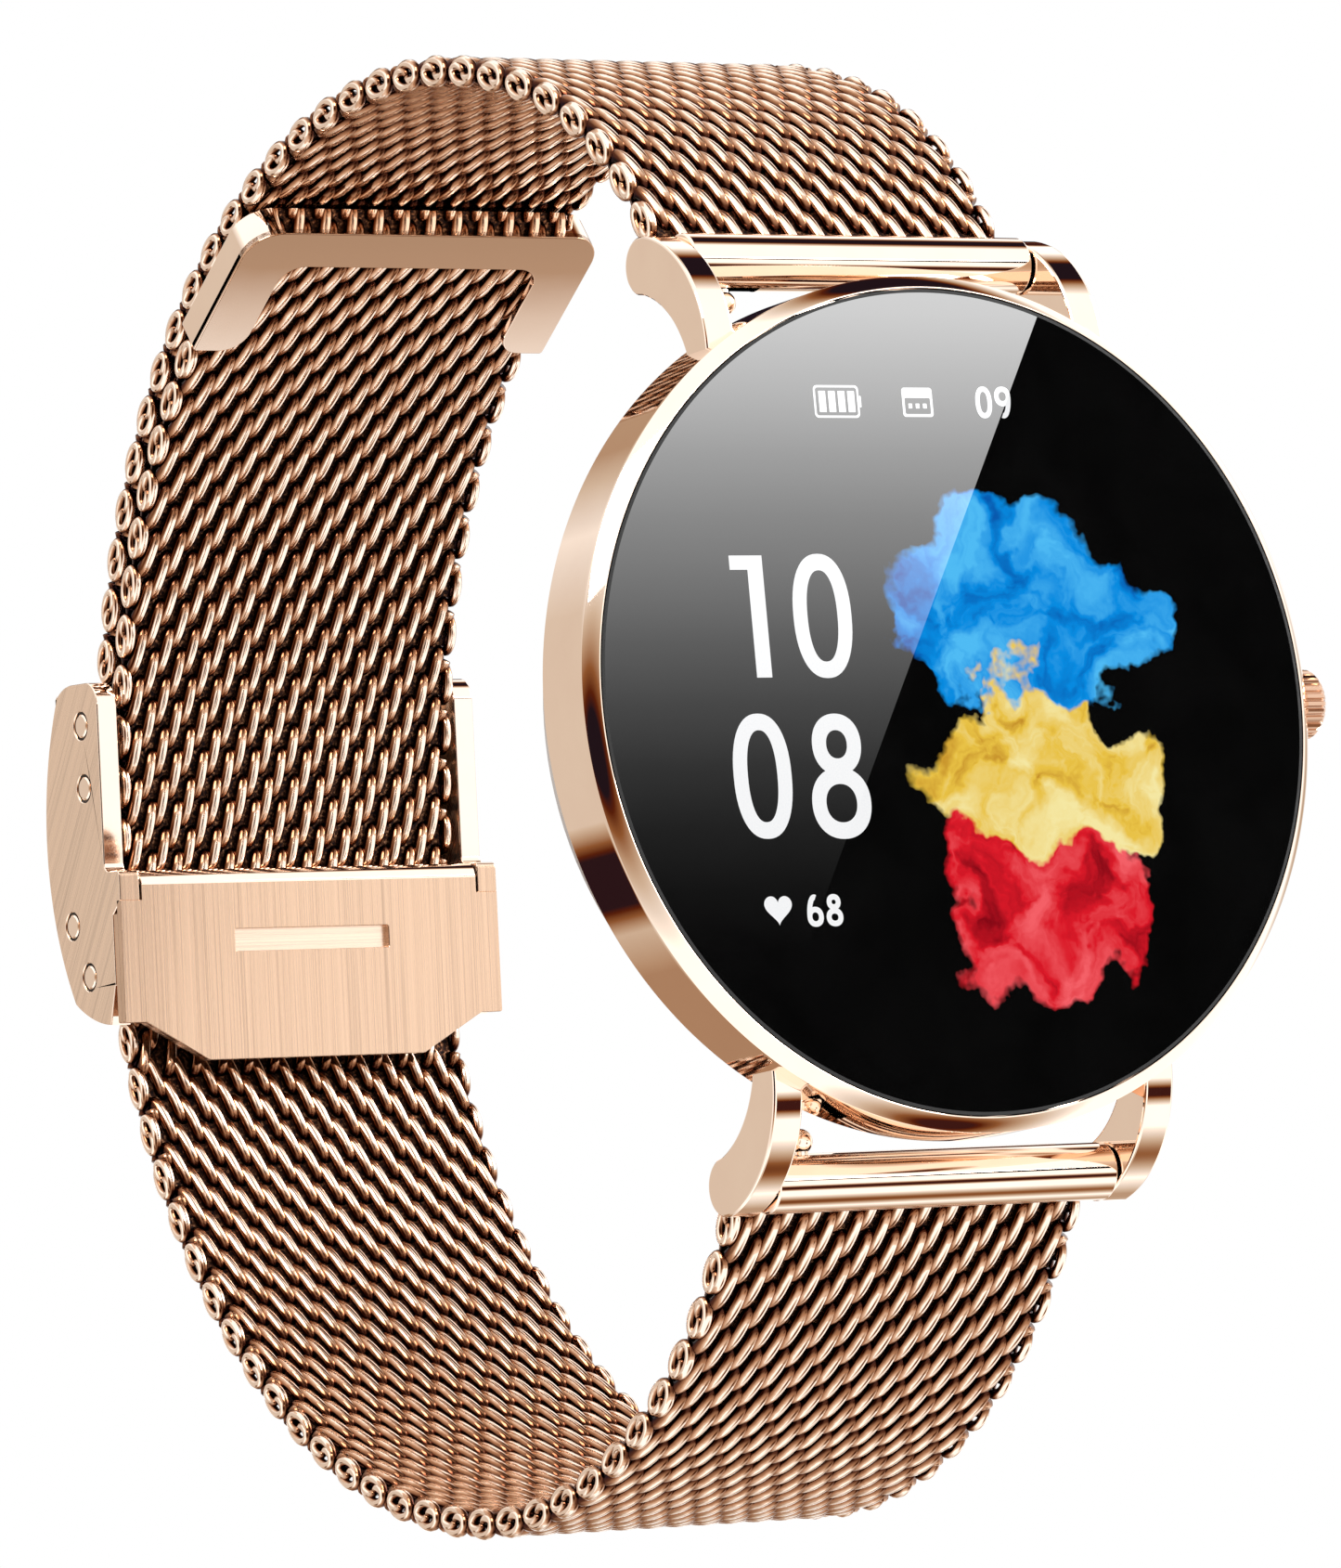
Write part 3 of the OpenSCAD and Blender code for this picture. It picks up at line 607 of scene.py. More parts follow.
def build_case(looks):
    wall = FRONT + 0.6 + 3.6
    cavity = CASE_R - 1.8
    ring = lathe("case_ring", [
        (cavity, SEAT, 0), (CASE_R, SEAT, 0), (CASE_R, wall, 0.06), (CASE_R - 0.8, wall + 0.9, 0.3),
        (CASE_R - 2.6, wall + 2.2, 0.6), (CASE_R - 3, -0.9, 0.1), (16.3, -0.9, 0.05), (16.3, -1.9, 0),
        (cavity - 1.9, -1.9, 0), (cavity, -3.4, 0)], 360)
    lugs = []
    for x0 in (-LUG_IN - LUG_T, LUG_IN):
        for up in (-1, 1):
            lugs.append(plate("lug", [lug_outline()], x0, x0 + LUG_T,
                              lambda a, b, t, up=up: (t, a, up * b), 0.14))
    body = join("case_shell", [ring] + lugs)
    piece(body, "case", looks["polished"], "rose_polished", "case_body")
    bezel = lathe("bezel", [(RIM_R, FRONT, 0.03), (RIM_R + 0.07, FRONT, 0.02), (CASE_R, FRONT + 0.6, 0.04),
                            (CASE_R, SEAT, 0), (RIM_R, SEAT, 0)])
    piece(bezel, "case", looks["polished"], "rose_polished", "bezel_ring")


def build_glass(looks):
    glass = lathe("dial_glass", [(0.0, FRONT, 0), (GLASS_R - 0.12, FRONT, 0), (GLASS_R, FRONT + 0.12, 0),
                                 (GLASS_R, GLASS_BACK, 0), (0.0, GLASS_BACK, 0)])
    piece(glass, "case", looks["glass"], "glass", "cover_glass")
    inner, outer = GLASS_R - 0.13, GLASS_R + 0.03
    edge = lathe("glass_edge", [(inner, FRONT - 0.006, 0), (outer, FRONT + 0.01, 0),
                                (outer, FRONT + 0.3, 0), (inner, FRONT + 0.3, 0)])
    piece(edge, "case", looks["gap"], "glass", "cover_glass")


# ---- dial graphics

INK = 0.012
LAP = 0.004


def flat_shape(loops, lift=0.0):
    """A thin figure just in front of the glass."""
    return plate("shape", loops, -LAP, INK, lambda a, b, t: (a, FRONT - t - lift, b), 0)


def oval(cx, cz, w, h, power, n=56):
    """A loop between an ellipse and a box, squarer with a higher power."""
    out = []
    for k in range(n):
        a = k * math.tau / n
        c, s = math.cos(a), math.sin(a)
        out.append((cx + w / 2 * math.copysign(abs(c) ** (2 / power), c),
                    cz + h / 2 * math.copysign(abs(s) ** (2 / power), s)))
    return out


def oval_ring(cx, cz, w, h, pen, power, lift=0.0):
    return flat_shape([oval(cx, cz, w, h, power), oval(cx, cz, w - 2 * pen, h - 2 * pen, power)], lift)


def box_ring(x0, z0, x1, z1, corner, window, inner):
    """A rounded box with a rounded window in it."""
    return flat_shape([round_rect(x0, z0, x1, z1, corner), round_rect(*window, inner)])


def box(x0, z0, x1, z1, corner):
    return flat_shape([round_rect(x0, z0, x1, z1, corner)])


def stroke(points, pen, lift=0.0):
    """An open pen stroke of even width."""
    p = np.array(points, float)
    tan = np.gradient(p, axis=0)
    tan /= np.linalg.norm(tan, axis=1, keepdims=True)
    side = np.stack([-tan[:, 1], tan[:, 0]], 1) * pen / 2
    return flat_shape([np.concatenate([p + side, (p - side)[::-1]])], lift)


def digit(char, x, z, w, h, pen):
    """Shapes of one digit whose box starts at x and has its top at z."""
    cx, cz = x + w / 2, z - h / 2
    if char == "0":
        return [oval_ring(cx, cz, w, h, pen, 2.3)]
    if char == "1":
        left, right, flag, foot = x + w - pen, x + w, z - pen * 0.8, z - h
        return [flat_shape([[(x, z), (x, flag), (left, flag), (left, foot), (right, foot), (right, z)]])]
    if char == "8":
        top, low = h * 0.49, h * 0.57
        return [oval_ring(cx, z - top / 2, w * 0.83, top, pen, 2.15),
                oval_ring(cx, z - h + low / 2, w, low, pen, 2.15, LAP)]
    low = h * 0.62
    turn = 1 if char == "6" else -1
    ring_z = cz - turn * (h - low) / 2
    tail = []
    for a in np.linspace(180, 78, 20):
        tail.append((cx + turn * (w - pen) / 2 * math.cos(a * DEG),
                     ring_z + turn * (h - low / 2 - pen / 2) * math.sin(a * DEG)))
    return [oval_ring(cx, ring_z, w, low, pen, 2.2), stroke(tail, pen, LAP)]


def heart(cx, cz, w, h):
    """A heart from the usual sum of cosines."""
    out = []
    for k in range(64):
        a = k * math.tau / 64
        x = math.sin(a) ** 3
        y = (13 * math.cos(a) - 5 * math.cos(2 * a) - 2 * math.cos(3 * a) - math.cos(4 * a)) / 16
        out.append((cx + w / 2 * x, cz + h / 2 * (y + 0.1)))
    return flat_shape([out])


# the time, the day of the month and the pulse: character, left, top, width, height, pen
FIGURES = [("1", -12.48, 7.14, 1.86, 5.92, 0.86), ("0", -9.10, 7.21, 3.32, 6.05, 0.80),
           ("0", -13.32, -0.52, 3.28, 6.05, 0.80), ("8", -9.00, -0.57, 3.36, 6.08, 0.80),
           ("0", 2.57, 15.44, 0.96, 1.57, 0.26), ("9", 3.70, 15.44, 0.94, 1.57, 0.26),
           ("6", -9.87, -9.30, 0.92, 1.56, 0.27), ("8", -8.78, -9.30, 0.94, 1.56, 0.27)]


def battery_sign():
    bars = [box(x, 14.14, x + 0.40, 15.18, 0.03) for x in np.arange(4) * 0.555 - 6.51]
    return [box_ring(-6.80, 13.86, -4.20, 15.46, 0.22, (-6.69, 13.97, -4.31, 15.35), 0.14),
            box(-4.19, 14.38, -4.08, 14.94, 0.04)] + bars


def calendar_sign():
    days = [box(x - 1.36, 14.34, x - 1.14, 14.58, 0.03) for x in np.arange(3) * 0.42]
    return [box_ring(-1.70, 13.92, 0.06, 15.36, 0.16, (-1.56, 14.06, -0.08, 14.86), 0.08)] + days


def build_dial(looks):
    parts = [shape for figure in FIGURES for shape in digit(*figure)]
    parts += [heart(-11.48, -10.0, 1.56, 1.56)] + battery_sign() + calendar_sign()
    piece(join("dial_figures", parts), "case", looks["white"], "display")


# ---- crown

def build_crown(looks):
    """The knurled knob: its rim is cut back at each groove."""
    grooves, deep = 28, 0.13
    x0, x1, r = CROWN_X0, CROWN_X1, CROWN_R
    rim = [(0.0, x0), (r - 0.42, x0), (r - 0.12, x0 + 0.10), (r, x0 + 0.24), (r, x1 - 0.45),
           (r - 0.10, x1 - 0.30), (r - 0.36, x1 - 0.08), (r - 0.50, x1 - 0.02), (r - 0.75, x1), (0.0, x1)]
    def place(a, b, x):
        q = math.hypot(a, b)
        part = deep if q > r - 0.2 else deep / 2 if q > r - 0.45 else 0
        left = 1 - part * max(0.0, math.cos(math.atan2(b, a) * grooves)) ** 0.6 / q if part else 1
        return (x, CROWN_Y + a * left, b * left)
    cap = turned("crown_knob", rim, grooves * 12, place)
    piece(cap, "crown", looks["crown"], "rose_polished", "crown_cap")


# ---- end tubes and quick-release knobs

def end_tube(name, up, root):
    """The polished tube between the lugs, with a slot for the knob and the tongue that holds the mesh."""
    rounds, bore, gap_half, bevel = 96, 0.94, 5, 0.10
    slot = (KNOB_X - 0.5, KNOB_X + 1.9)
    xs = [TUBE_X0, TUBE_X0 + 0.03, TUBE_X0 + bevel, slot[0] - 0.02, slot[0], slot[1], slot[1] + 0.02,
          TUBE_X1 - bevel, TUBE_X1 - 0.03, TUBE_X1]
    shrink = [bevel, 0.03] + [0] * (len(xs) - 4) + [0.03, bevel]
    angles = [(k + 0.5) * math.tau / rounds for k in range(rounds)]
    def circle(x, r):
        return [(x, BAR_Y + r * math.cos(a), up * (BAR_Z + r * math.sin(a))) for a in angles]
    def wall(r0, r1, k):
        n = (k + 1) % rounds
        return (r0 + k, r0 + n, r1 + n, r1 + k)
    verts, faces = [], []
    for x, d in zip(xs, shrink):
        verts += circle(x, TUBE_R - d)
    at = int(rounds * 0.75)
    for i, x in enumerate(xs[:-1]):
        faces += [wall(i * rounds, (i + 1) * rounds, k) for k in range(rounds)
                  if x != slot[0] or abs(k + 1 - at) > gap_half]
    for ring, x, way in ((0, TUBE_X0, 1), (len(xs) - 1, TUBE_X1, -1)):
        rings = [ring * rounds] + [len(verts) + k * rounds for k in range(3)]
        for r, depth in ((bore + 0.05, 0.0), (bore, 0.06), (bore, 1.5)):
            verts += circle(x + way * depth, r)
        for r0, r1 in zip(rings, rings[1:]):
            faces += [wall(r0, r1, k) for k in range(rounds)]
    tube = tidy_normals(new_mesh(name, verts, faces))
    cy, cz = root_centre(root)
    r0, r1 = root[4] - MESH_T + 0.2, math.hypot(BAR_Y - cy, BAR_Z - cz) - 1.1
    a0, a1 = root[5] + 0.2, math.degrees(math.atan2(BAR_Z - cz, BAR_Y - cy)) + 1
    mid, half = (a0 + a1) / 2 * DEG, (a1 - a0) / 2 * DEG * (r0 + r1) / 2
    def place(a, b, t):
        y = cy + t * math.cos(mid) - b * math.sin(mid)
        z = cz + t * math.sin(mid) + b * math.cos(mid)
        return (a, y, up * z)
    fin = plate("fin", [round_rect(-8.8, -half, 8.8, half, 0.1)], r0, r1, place, 0.1)
    return join(name, [tube, fin])


def knob(name, up):
    """The little ball on its shank that draws the spring bar back."""
    ball, shank, top = 0.62, 0.36, BAR_Z - TUBE_R + 0.5
    z0 = BAR_Z - TUBE_R - ball
    turns = np.linspace(0.001, math.pi - 0.62, 22)
    profile = [(ball * math.sin(t), z0 - ball * math.cos(t)) for t in turns]
    profile += [(shank, z0 + ball + 0.02), (shank, top), (0.0, top)]
    return turned(name, profile, 48, lambda a, b, z: (KNOB_X + a, BAR_Y + b, up * z))


def build_tubes(looks):
    for side, up, root in (("upper", 1, UPPER_ROOT), ("lower", -1, LOWER_ROOT)):
        piece(end_tube(f"{side}_tube", up, root), f"{side}_band", looks["polished"], "rose_polished",
              f"{side}_end_tube")
        piece(knob(f"{side}_knob", up), f"{side}_release", looks["polished"], "rose_polished",
              f"{side}_release_pin")


# ---- woven wire mesh

class Centreline:
    """The middle of the band as arcs and lines; s runs towards the end tube, and up = -1 mirrors it."""

    def __init__(self, up, runs):
        self.up = up
        self.runs = []
        s = 0.0
        for name, kind, data in runs:
            length = abs(data[4] - data[3]) * DEG * data[2] if kind == "arc" else data[4]
            self.runs.append((name, kind, data, s, s + length))
            s += length
        self.length = s

    def place(self, x, s, n):
        """World points for arrays of distance across, distance along and height off the middle."""
        y, z = np.zeros_like(s), np.zeros_like(s)
        for i, (name, kind, data, s0, s1) in enumerate(self.runs):
            first, last = i == 0, i == len(self.runs) - 1
            pick = ((s >= s0) | first) & ((s < s1) | last)
            d = s[pick] - s0
            if kind == "arc":
                cy, cz, r, a0, a1 = data
                a = a0 * DEG + d / r
                y[pick] = cy + (r + n[pick]) * np.cos(a)
                z[pick] = cz + (r + n[pick]) * np.sin(a)
            else:
                y0, z0, dy, dz, _ = data
                y[pick] = y0 + dy * d + dz * n[pick]
                z[pick] = z0 + dz * d - dy * n[pick]
        return np.stack([x, y, z * self.up], -1)


def root_run(name, q):
    """The tight bend next to the case."""
    return (name, "arc", (*root_centre(q), q[4] - MESH_T / 2, q[3], q[5]))


def upper_line():
    return Centreline(1, [
        ("upper_mesh_c", "arc", (UPPER_Y, UPPER_Z, UPPER_MID, FERRULE_A, 46)),
        ("upper_mesh_b", "arc", (UPPER_Y, UPPER_Z, UPPER_MID, 46, 80)),
        ("upper_mesh_a", "arc", (UPPER_Y, UPPER_Z, UPPER_MID, 80, UPPER_ROOT[3])),
        root_run("upper_mesh_root", UPPER_ROOT)])


def lower_line():
    """The tail and the lower half are one band, from the free end through the clasp to the tube."""
    a, low, reach = LINE_A * DEG, LOW_A * DEG, ARC_MID - BEND_R
    start = (UPPER_Y + TAIL_MID * math.cos(a), -UPPER_Z - TAIL_MID * math.sin(a))
    centre = (LOOP_Y + reach * math.cos(low), reach * math.sin(low))
    return Centreline(-1, [
        ("tail_mesh_b", "arc", (UPPER_Y, -UPPER_Z, TAIL_MID, -(KEEPER_A + KEEPER_END), -36)),
        ("tail_mesh_a", "arc", (UPPER_Y, -UPPER_Z, TAIL_MID, -36, -LINE_A)),
        ("tail_straight", "line", (*start, math.sin(a), math.cos(a), LINE_L)),
        ("tail_bend", "arc", (*centre, BEND_R, -LINE_A, LOW_A)),
        ("lower_mesh_c", "arc", (LOOP_Y, 0, ARC_MID, LOW_A, 38)),
        ("lower_mesh_b", "arc", (LOOP_Y, 0, ARC_MID, 38, 62)),
        ("lower_mesh_a", "arc", (LOOP_Y, 0, ARC_MID, 62, LOWER_ROOT[3])),
        root_run("lower_mesh_root", LOWER_ROOT)])


# the weave: wire radius, turn of a spiral, distance between spirals, reach of a spiral along the band
WIRE, PITCH, ROW, REACH = 0.36, 1.60, 1.35, 1.16
EDGE_GAP = 0.45


def spiral(s_mid, odd, hand):
    """One flattened spiral across the band, in (across, along, height)."""
    half = MESH_H - 0.42
    steps = int(2 * half / PITCH * 24)
    x = np.linspace(-half, half, steps)
    turn = (x + half) / PITCH * math.tau + (math.pi if odd else 0)
    swing = np.sin(turn)
    height = (MESH_T / 2 - WIRE) * np.sign(swing) * np.abs(swing) ** 0.7
    path = np.stack([hand * x, s_mid - REACH * np.cos(turn), height], -1)
    return tube_along(path, WIRE, 10)


def hook(s_mid, x, turn):
    """Two commas that close the edge of a pair of spirals, curled round each other."""
    long, tall = 1.30, MESH_T / 2 + 0.02
    a = np.linspace(205, 0, 22) * DEG
    b = np.linspace(-20, -175, 10) * DEG
    outer = np.stack([np.cos(a), np.sin(a)], -1) * 0.74
    inner = np.stack([0.38 + 0.36 * np.cos(b), 0.36 * np.sin(b)], -1)
    flat = np.concatenate([outer, inner])
    radius = np.interp(np.arange(len(flat)), [0, 4, 20, 26, 31], [0.08, 0.22, 0.28, 0.28, 0.20])
    out = []
    for spin in (1, -1):
        along = s_mid + spin * turn * flat[:, 0] * long
        pts = np.stack([np.full(len(flat), x), along, spin * flat[:, 1] * tall], -1)
        out.append(tube_along(pts, radius, 10))
    return out


def core(line, name, s0, s1):
    """Painted shade for the middle of the weave: a thin curved dark strip behind the wires."""
    half, thick = MESH_H - 0.55, 0.22
    s = np.linspace(s0, s1, max(4, int((s1 - s0) / 0.8)))
    loop = [(-half, -thick), (half, -thick), (half, thick), (-half, thick)]
    grid = np.concatenate([line.place(np.full(len(s), x), s, np.full(len(s), t)) for x, t in loop])
    n = len(s)
    quads = [(k * n + i, (k + 1) % 4 * n + i, (k + 1) % 4 * n + i + 1, k * n + i + 1)
             for k in range(4) for i in range(n - 1)]
    quads += [(0, 3 * n, 2 * n, n), (n - 1, 2 * n - 1, 3 * n - 1, 4 * n - 1)]
    return tidy_normals(quad_mesh(name, grid, np.array(quads)), 30)


def weave(line, looks, body, turned_range):
    """The rows of one half of the band, one piece for each CAD length; turned_range is where the spirals are of
    the other hand."""
    count = int((line.length - 2 * EDGE_GAP) / ROW / 2) * 2
    step = (line.length - 2 * EDGE_GAP) / count
    rows = [(EDGE_GAP + (k + 0.5) * step + (0.06 if k % 2 else -0.06), k) for k in range(count)]
    for name, kind, data, s0, s1 in line.runs:
        parts = []
        for s_mid, k in rows:
            if not s0 <= s_mid < s1:
                continue
            parts.append(spiral(s_mid, k % 2, -1 if turned_range[0] < s_mid < turned_range[1] else 1))
            if k % 2 == 0:
                for x in (-MESH_H + 0.22, MESH_H - 0.22):
                    parts += hook(s_mid + step / 2, x, 1 if x < 0 else -1)
        verts, quads, base = [], [], 0
        for v, q in parts:
            verts.append(v)
            quads.append(q + base)
            base += len(v)
        v = np.concatenate(verts)
        placed = line.place(v[:, 0], v[:, 1], v[:, 2])
        label = name.replace("mesh", "weave") if "mesh" in name else name + "_weave"
        wires = quad_mesh(label, placed, np.concatenate(quads))
        # crest: near 1 at the weave's two faces and at its edges, near 0 in its middle; the wire material
        # paints shade where it is low
        crest = np.maximum(np.abs(v[:, 2]) * 2 / MESH_T, (np.abs(v[:, 0]) - MESH_H + 0.40) / 0.44)
        marks = wires.data.attributes.new("crest", "FLOAT", "POINT").data
        marks.foreach_set("value", crest.astype(np.float32))
        piece(wires, body, looks["wire"], "rose_mesh", name)
        strip = core(line, label + "_core", s0 + 0.3 * (s0 == 0), s1 - 0.3 * (s1 == line.length))
        piece(strip, body, looks["core"], "rose_mesh", name)


def build_band(looks):
    weave(upper_line(), looks, "upper_band", (0, UPPER_MID * (98 - FERRULE_A) * DEG))
    lower = lower_line()
    starts = {name: s0 for name, kind, data, s0, s1 in lower.runs}
    weave(lower, looks, "lower_band", (starts["lower_mesh_c"], starts["lower_mesh_root"]))


# ---- keeper at the tail's free end

def keeper_place(a, b, t):
    c, s = math.cos(KEEPER_A * DEG), math.sin(KEEPER_A * DEG)
    b += KEEPER_UP
    return (a, UPPER_Y + t * c - b * s, UPPER_Z + t * s + b * c)


def build_keeper(looks):
    """A three-sided frame: a thin bright wall behind a broad face with two arms and a bar."""
    w, h, arm, bar, corner, thin, steps = 10.7, KEEPER_H, 2.9, 2.5, 1.9, 0.5, 12
    back = TAIL_MID - MESH_T / 2 - 0.12
    front = back - 0.6
    outer = [(-w, -h, 0.2), (-w, h, corner), (w, h, corner), (w, -h, 0.2)]
    def ring(side, top, foot_r, top_r):
        x, z = w - side, h - top
        return rounded(outer + [(x, -h, foot_r), (x, z, top_r), (-x, z, top_r), (-x, -h, foot_r)], 0.2, steps)
    face = plate("keeper_face", [ring(arm, bar, corner, 1.3)], front, front + 0.42, keeper_place, 0.06)
    piece(face, "lower_band", looks["keeper"], "rose_polished", "keeper")
    edge = ring(thin, thin, 0.05, corner - thin)
    wall = plate("keeper_wall", [edge], front + 0.04, back + 1.3, keeper_place, 0.06)
    piece(wall, "lower_band", looks["polished"], "rose_polished", "keeper")


# ---- clasp

def clasp_place(v, u, x):
    """A point of the tilted clasp from its distance out, up and across."""
    c, s = math.cos(CLASP_TILT * DEG), math.sin(CLASP_TILT * DEG)
    return (x, CLASP_Y + v * c - u * s, CLASP_Z + v * s + u * c)


def clasp_sheet(x, u, v):
    """The same for plates drawn across and up, with their thickness outwards."""
    return clasp_place(v, u, x)


def cheek_outline():
    """A cheek in (out, up): bulging outside, stepped inside, cut back for the lock plate, rounded top."""
    out = rounded([(-1.88, -9.15, 0.05), (-1.88, -3.32, 0.02), (-2.75, -2.575, 0), (-2.75, -1.0, 0.30),
                   (-1.14, -1.0, 0.45), (-1.14, 6.5, 0)], 0.2, 8)[:-1]
    out += arc(0.06, 7.95, 1.2, 180, 90, 14)
    out += arc(1.65, 6.55, 2.6, 90, 48, 12)
    out += arc(-11.9, 0.9, 17, 26.9, -31.0, 40)
    out += arc(-1.55, -1.55, 7.6, -56.5, -87, 16)
    return out


# centres in (out, up)
RIVETS = [(0.74, 6.9), (0.68, 3.56), (0.99, -6.5)]
HINGE = (2.6, -3.7)


def rivet(name, v, u, side, r=0.64):
    """A flush rivet head, slightly domed, at the bottom of its ring of painted shade."""
    x1 = CHEEK_OUT + 0.03
    rim = [(0.0, x1), (0.35, x1 - 0.005), (r - 0.10, x1 - 0.03), (r - 0.02, x1 - 0.09), (r, x1 - 0.2),
           (r, CHEEK_IN + 0.1), (0.0, CHEEK_IN + 0.1)]
    return turned(name, rim, 40, lambda a, b, x: clasp_place(v + a, u + b, side * x))


def rod_x(name, v, u, r, x0, x1, segs=48):
    """A rod across the clasp with slightly broken edges."""
    x0, x1 = sorted((x0, x1))
    rim = [(0.0, x0), (r - 0.04, x0), (r, x0 + 0.04), (r, x1 - 0.04), (r - 0.04, x1), (0.0, x1)]
    return turned(name, rim, segs, lambda a, b, x: clasp_place(v + a, u + b, x))


def build_clasp(looks):
    holes = [arc(v, u, 0.76, 0, 351, 40) for v, u in RIVETS + [HINGE]]
    cheeks = [plate("cheek", [cheek_outline()] + holes, x0, x0 + CHEEK_T, clasp_place, 0.07)
              for x0 in (-CHEEK_OUT, CHEEK_IN)]
    sides = join("clasp_cheeks", cheeks)
    inward = Vector(clasp_place(-1, 0, 0)) - Vector(clasp_place(0, 0, 0))
    step = Vector(clasp_place(-2.75, 0, 0)) * MM
    for face in sides.data.polygons:
        level = abs((face.center - step).dot(inward)) < 0.05 * MM
        beside_plate = face.normal.dot(inward) > 0.9 and level
        # faces on the step beside the lock plate take the darker brushed rose gold with painted shade
        face.material_index = 0 if abs(face.normal.x) > 0.9 else 2 if beside_plate else 1
    more = (looks["polished"], looks["plate"])
    piece(sides, "clasp", looks["cheek"], "rose_brushed", "clasp_frame", extra=more)
    reach = CHEEK_IN + 0.05
    strap = plate("clasp_strap", [round_rect(-reach, -8.6, reach, -6, 0.1)], 1.9, 2.5, clasp_sheet, 0.1)
    piece(strap, "clasp", looks["plate"], "rose_brushed", "clasp_frame")
    heads = [rivet("rivet", v, u, side) for v, u in RIVETS for side in (-1, 1)]
    piece(join("rivet_heads", heads), "clasp", looks["polished"], "rose_polished", "clasp_rivets")
    # near-black rings round the rivets and the hinge pin: painted shade in the gap round each head
    rings = [rod_x("ring", v, u, 0.8, side * (CHEEK_OUT - 0.40), side * (CHEEK_OUT - 0.23))
             for v, u in RIVETS + [HINGE] for side in (-1, 1)]
    piece(join("rivet_gaps", rings), "clasp", looks["gap"], "rose_brushed", "clasp_rivets")
    pins = [rivet("hinge", *HINGE, side) for side in (-1, 1)]
    pins += [rod_x("pin", *HINGE, 0.4, side * 8.6, side * (CHEEK_IN + 0.2), 32) for side in (-1, 1)]
    piece(join("hinge_heads", pins), "clasp", looks["polished"], "rose_polished", "cover_hinge_pins")


def build_lock(looks):
    """The wide brushed plate with its rolled upper edge, its tongue and its shallow slot."""
    w, roll, foot, edge, top = CHEEK_OUT, CHEEK_IN - 0.1, -9.1, -2.595, -1.75
    low = [(-w, foot, 0.12), (-w + 1.3, foot, 0.3), (-w + 5, -11.2, 0.5), (w - 5, -11.2, 0.5),
           (w - 1.3, foot, 0.3), (w, foot, 0.12)]
    front = rounded(low + [(w, edge, 0), (roll, edge, 0), (roll, top, 0), (-roll, top, 0), (-roll, edge, 0),
                           (-w, edge, 0)], 0.1, 8)
    back = rounded(low + [(w, -3.3, 0), (-w, -3.3, 0)], 0.1, 8)
    slot = round_rect(-4.75, -5.45, 4.75, -4.25, 0.1)
    catch = round_rect(-roll + 1.5, -7.9, roll - 1.5, -7.3, 0.05)
    leaf = [plate("lock", [front, slot], -2.75, -2.34, clasp_sheet, 0.04),
            plate("lock_back", [back], -2.35, -1.95, clasp_sheet, 0.04),
            plate("catch", [catch], -2, -0.6, clasp_sheet, 0.05)]
    piece(join("lock_leaf", leaf), "lock", looks["plate"], "rose_brushed", "lock_plate")
    edge_rod = rod_x("lock_roll", -2.0, top, 0.75, -roll, roll, 96)
    piece(edge_rod, "lock", looks["polished"], "rose_polished", "lock_plate")
    floor = plate("slot_floor", [round_rect(-4.8, -5.5, 4.8, -4.2, 0.1)], -2.37, -2.30, clasp_sheet, 0)
    piece(floor, "lock", looks["cheek"], "rose_polished", "lock_plate")


def build_cover(looks):
    """The outer leaf with two ears on its hinge pins."""
    w = CHEEK_IN - 0.15
    parts = [plate("leaf", [round_rect(-w, -3.6, w, 7.4, 0.5)], 2.95, 3.75, clasp_sheet, 0.12)]
    for side in (-1, 1):
        x0, x1 = sorted((side * (w - 1.4), side * w))
        parts += [rod_x("ear", *HINGE, 0.95, x0, x1),
                  plate("web", [round_rect(x0, -3.7, x1, -2.4, 0.05)], 2.2, 3.55, clasp_sheet, 0.05)]
    piece(join("cover_leaf", parts), "cover", looks["plate"], "rose_brushed", "clasp_cover")


def build_ferrule(looks):
    """The folded sleeve on the free end of the upper mesh."""
    a0, a1 = 11.4, FERRULE_A - 0.02
    mid = (a0 + a1) / 2 * DEG
    r0, r1 = UPPER_R - MESH_T - 0.05, UPPER_R + 0.05
    half = (a1 - a0) / 2 * DEG * (r0 + r1) / 2
    def place(x, b, t):
        c, s = math.cos(mid), math.sin(mid)
        return (x, UPPER_Y + t * c - b * s, UPPER_Z + t * s + b * c)
    w = MESH_H - 0.1
    obj = plate("mesh_ferrule", [round_rect(-w, -half, w, half, 0.15)], r0, r1, place, 0.25, 5)
    piece(obj, "upper_band", looks["polished"], "rose_polished", "hook_ferrule")


# ---- studio

def view_axes(azimuth, elevation, roll):
    """Right, up and back of a camera that looks at the watch."""
    level = math.cos(elevation)
    back = Vector((-math.sin(azimuth) * level, -math.cos(azimuth) * level, math.sin(elevation)))
    right = Vector((0, 0, 1)).cross(back).normalized()
    up = back.cross(right)
    c, s = math.cos(roll), math.sin(roll)
    return right * c + up * s, up * c - right * s, back


def build_camera():
    """A long lens to the left of the dial's axis and a little below it."""
    right, up, back = view_axes(32.27 * DEG, -6.61 * DEG, -5.17 * DEG)
    dial = Vector((0, FRONT, 0))
    place = dial + back * 503.5 - right * 13.99 - up * 4.055
    data = bpy.data.cameras.new("camera")
    data.lens = 238.72
    data.sensor_width = 36
    data.clip_start = 0.01
    cam = in_scene("camera", data)
    m = cam.matrix_world
    for row in range(3):
        m[row][0], m[row][1], m[row][2], m[row][3] = right[row], up[row], back[row], place[row] * MM
    cam.matrix_world = m
    bpy.context.scene.camera = cam
    return place


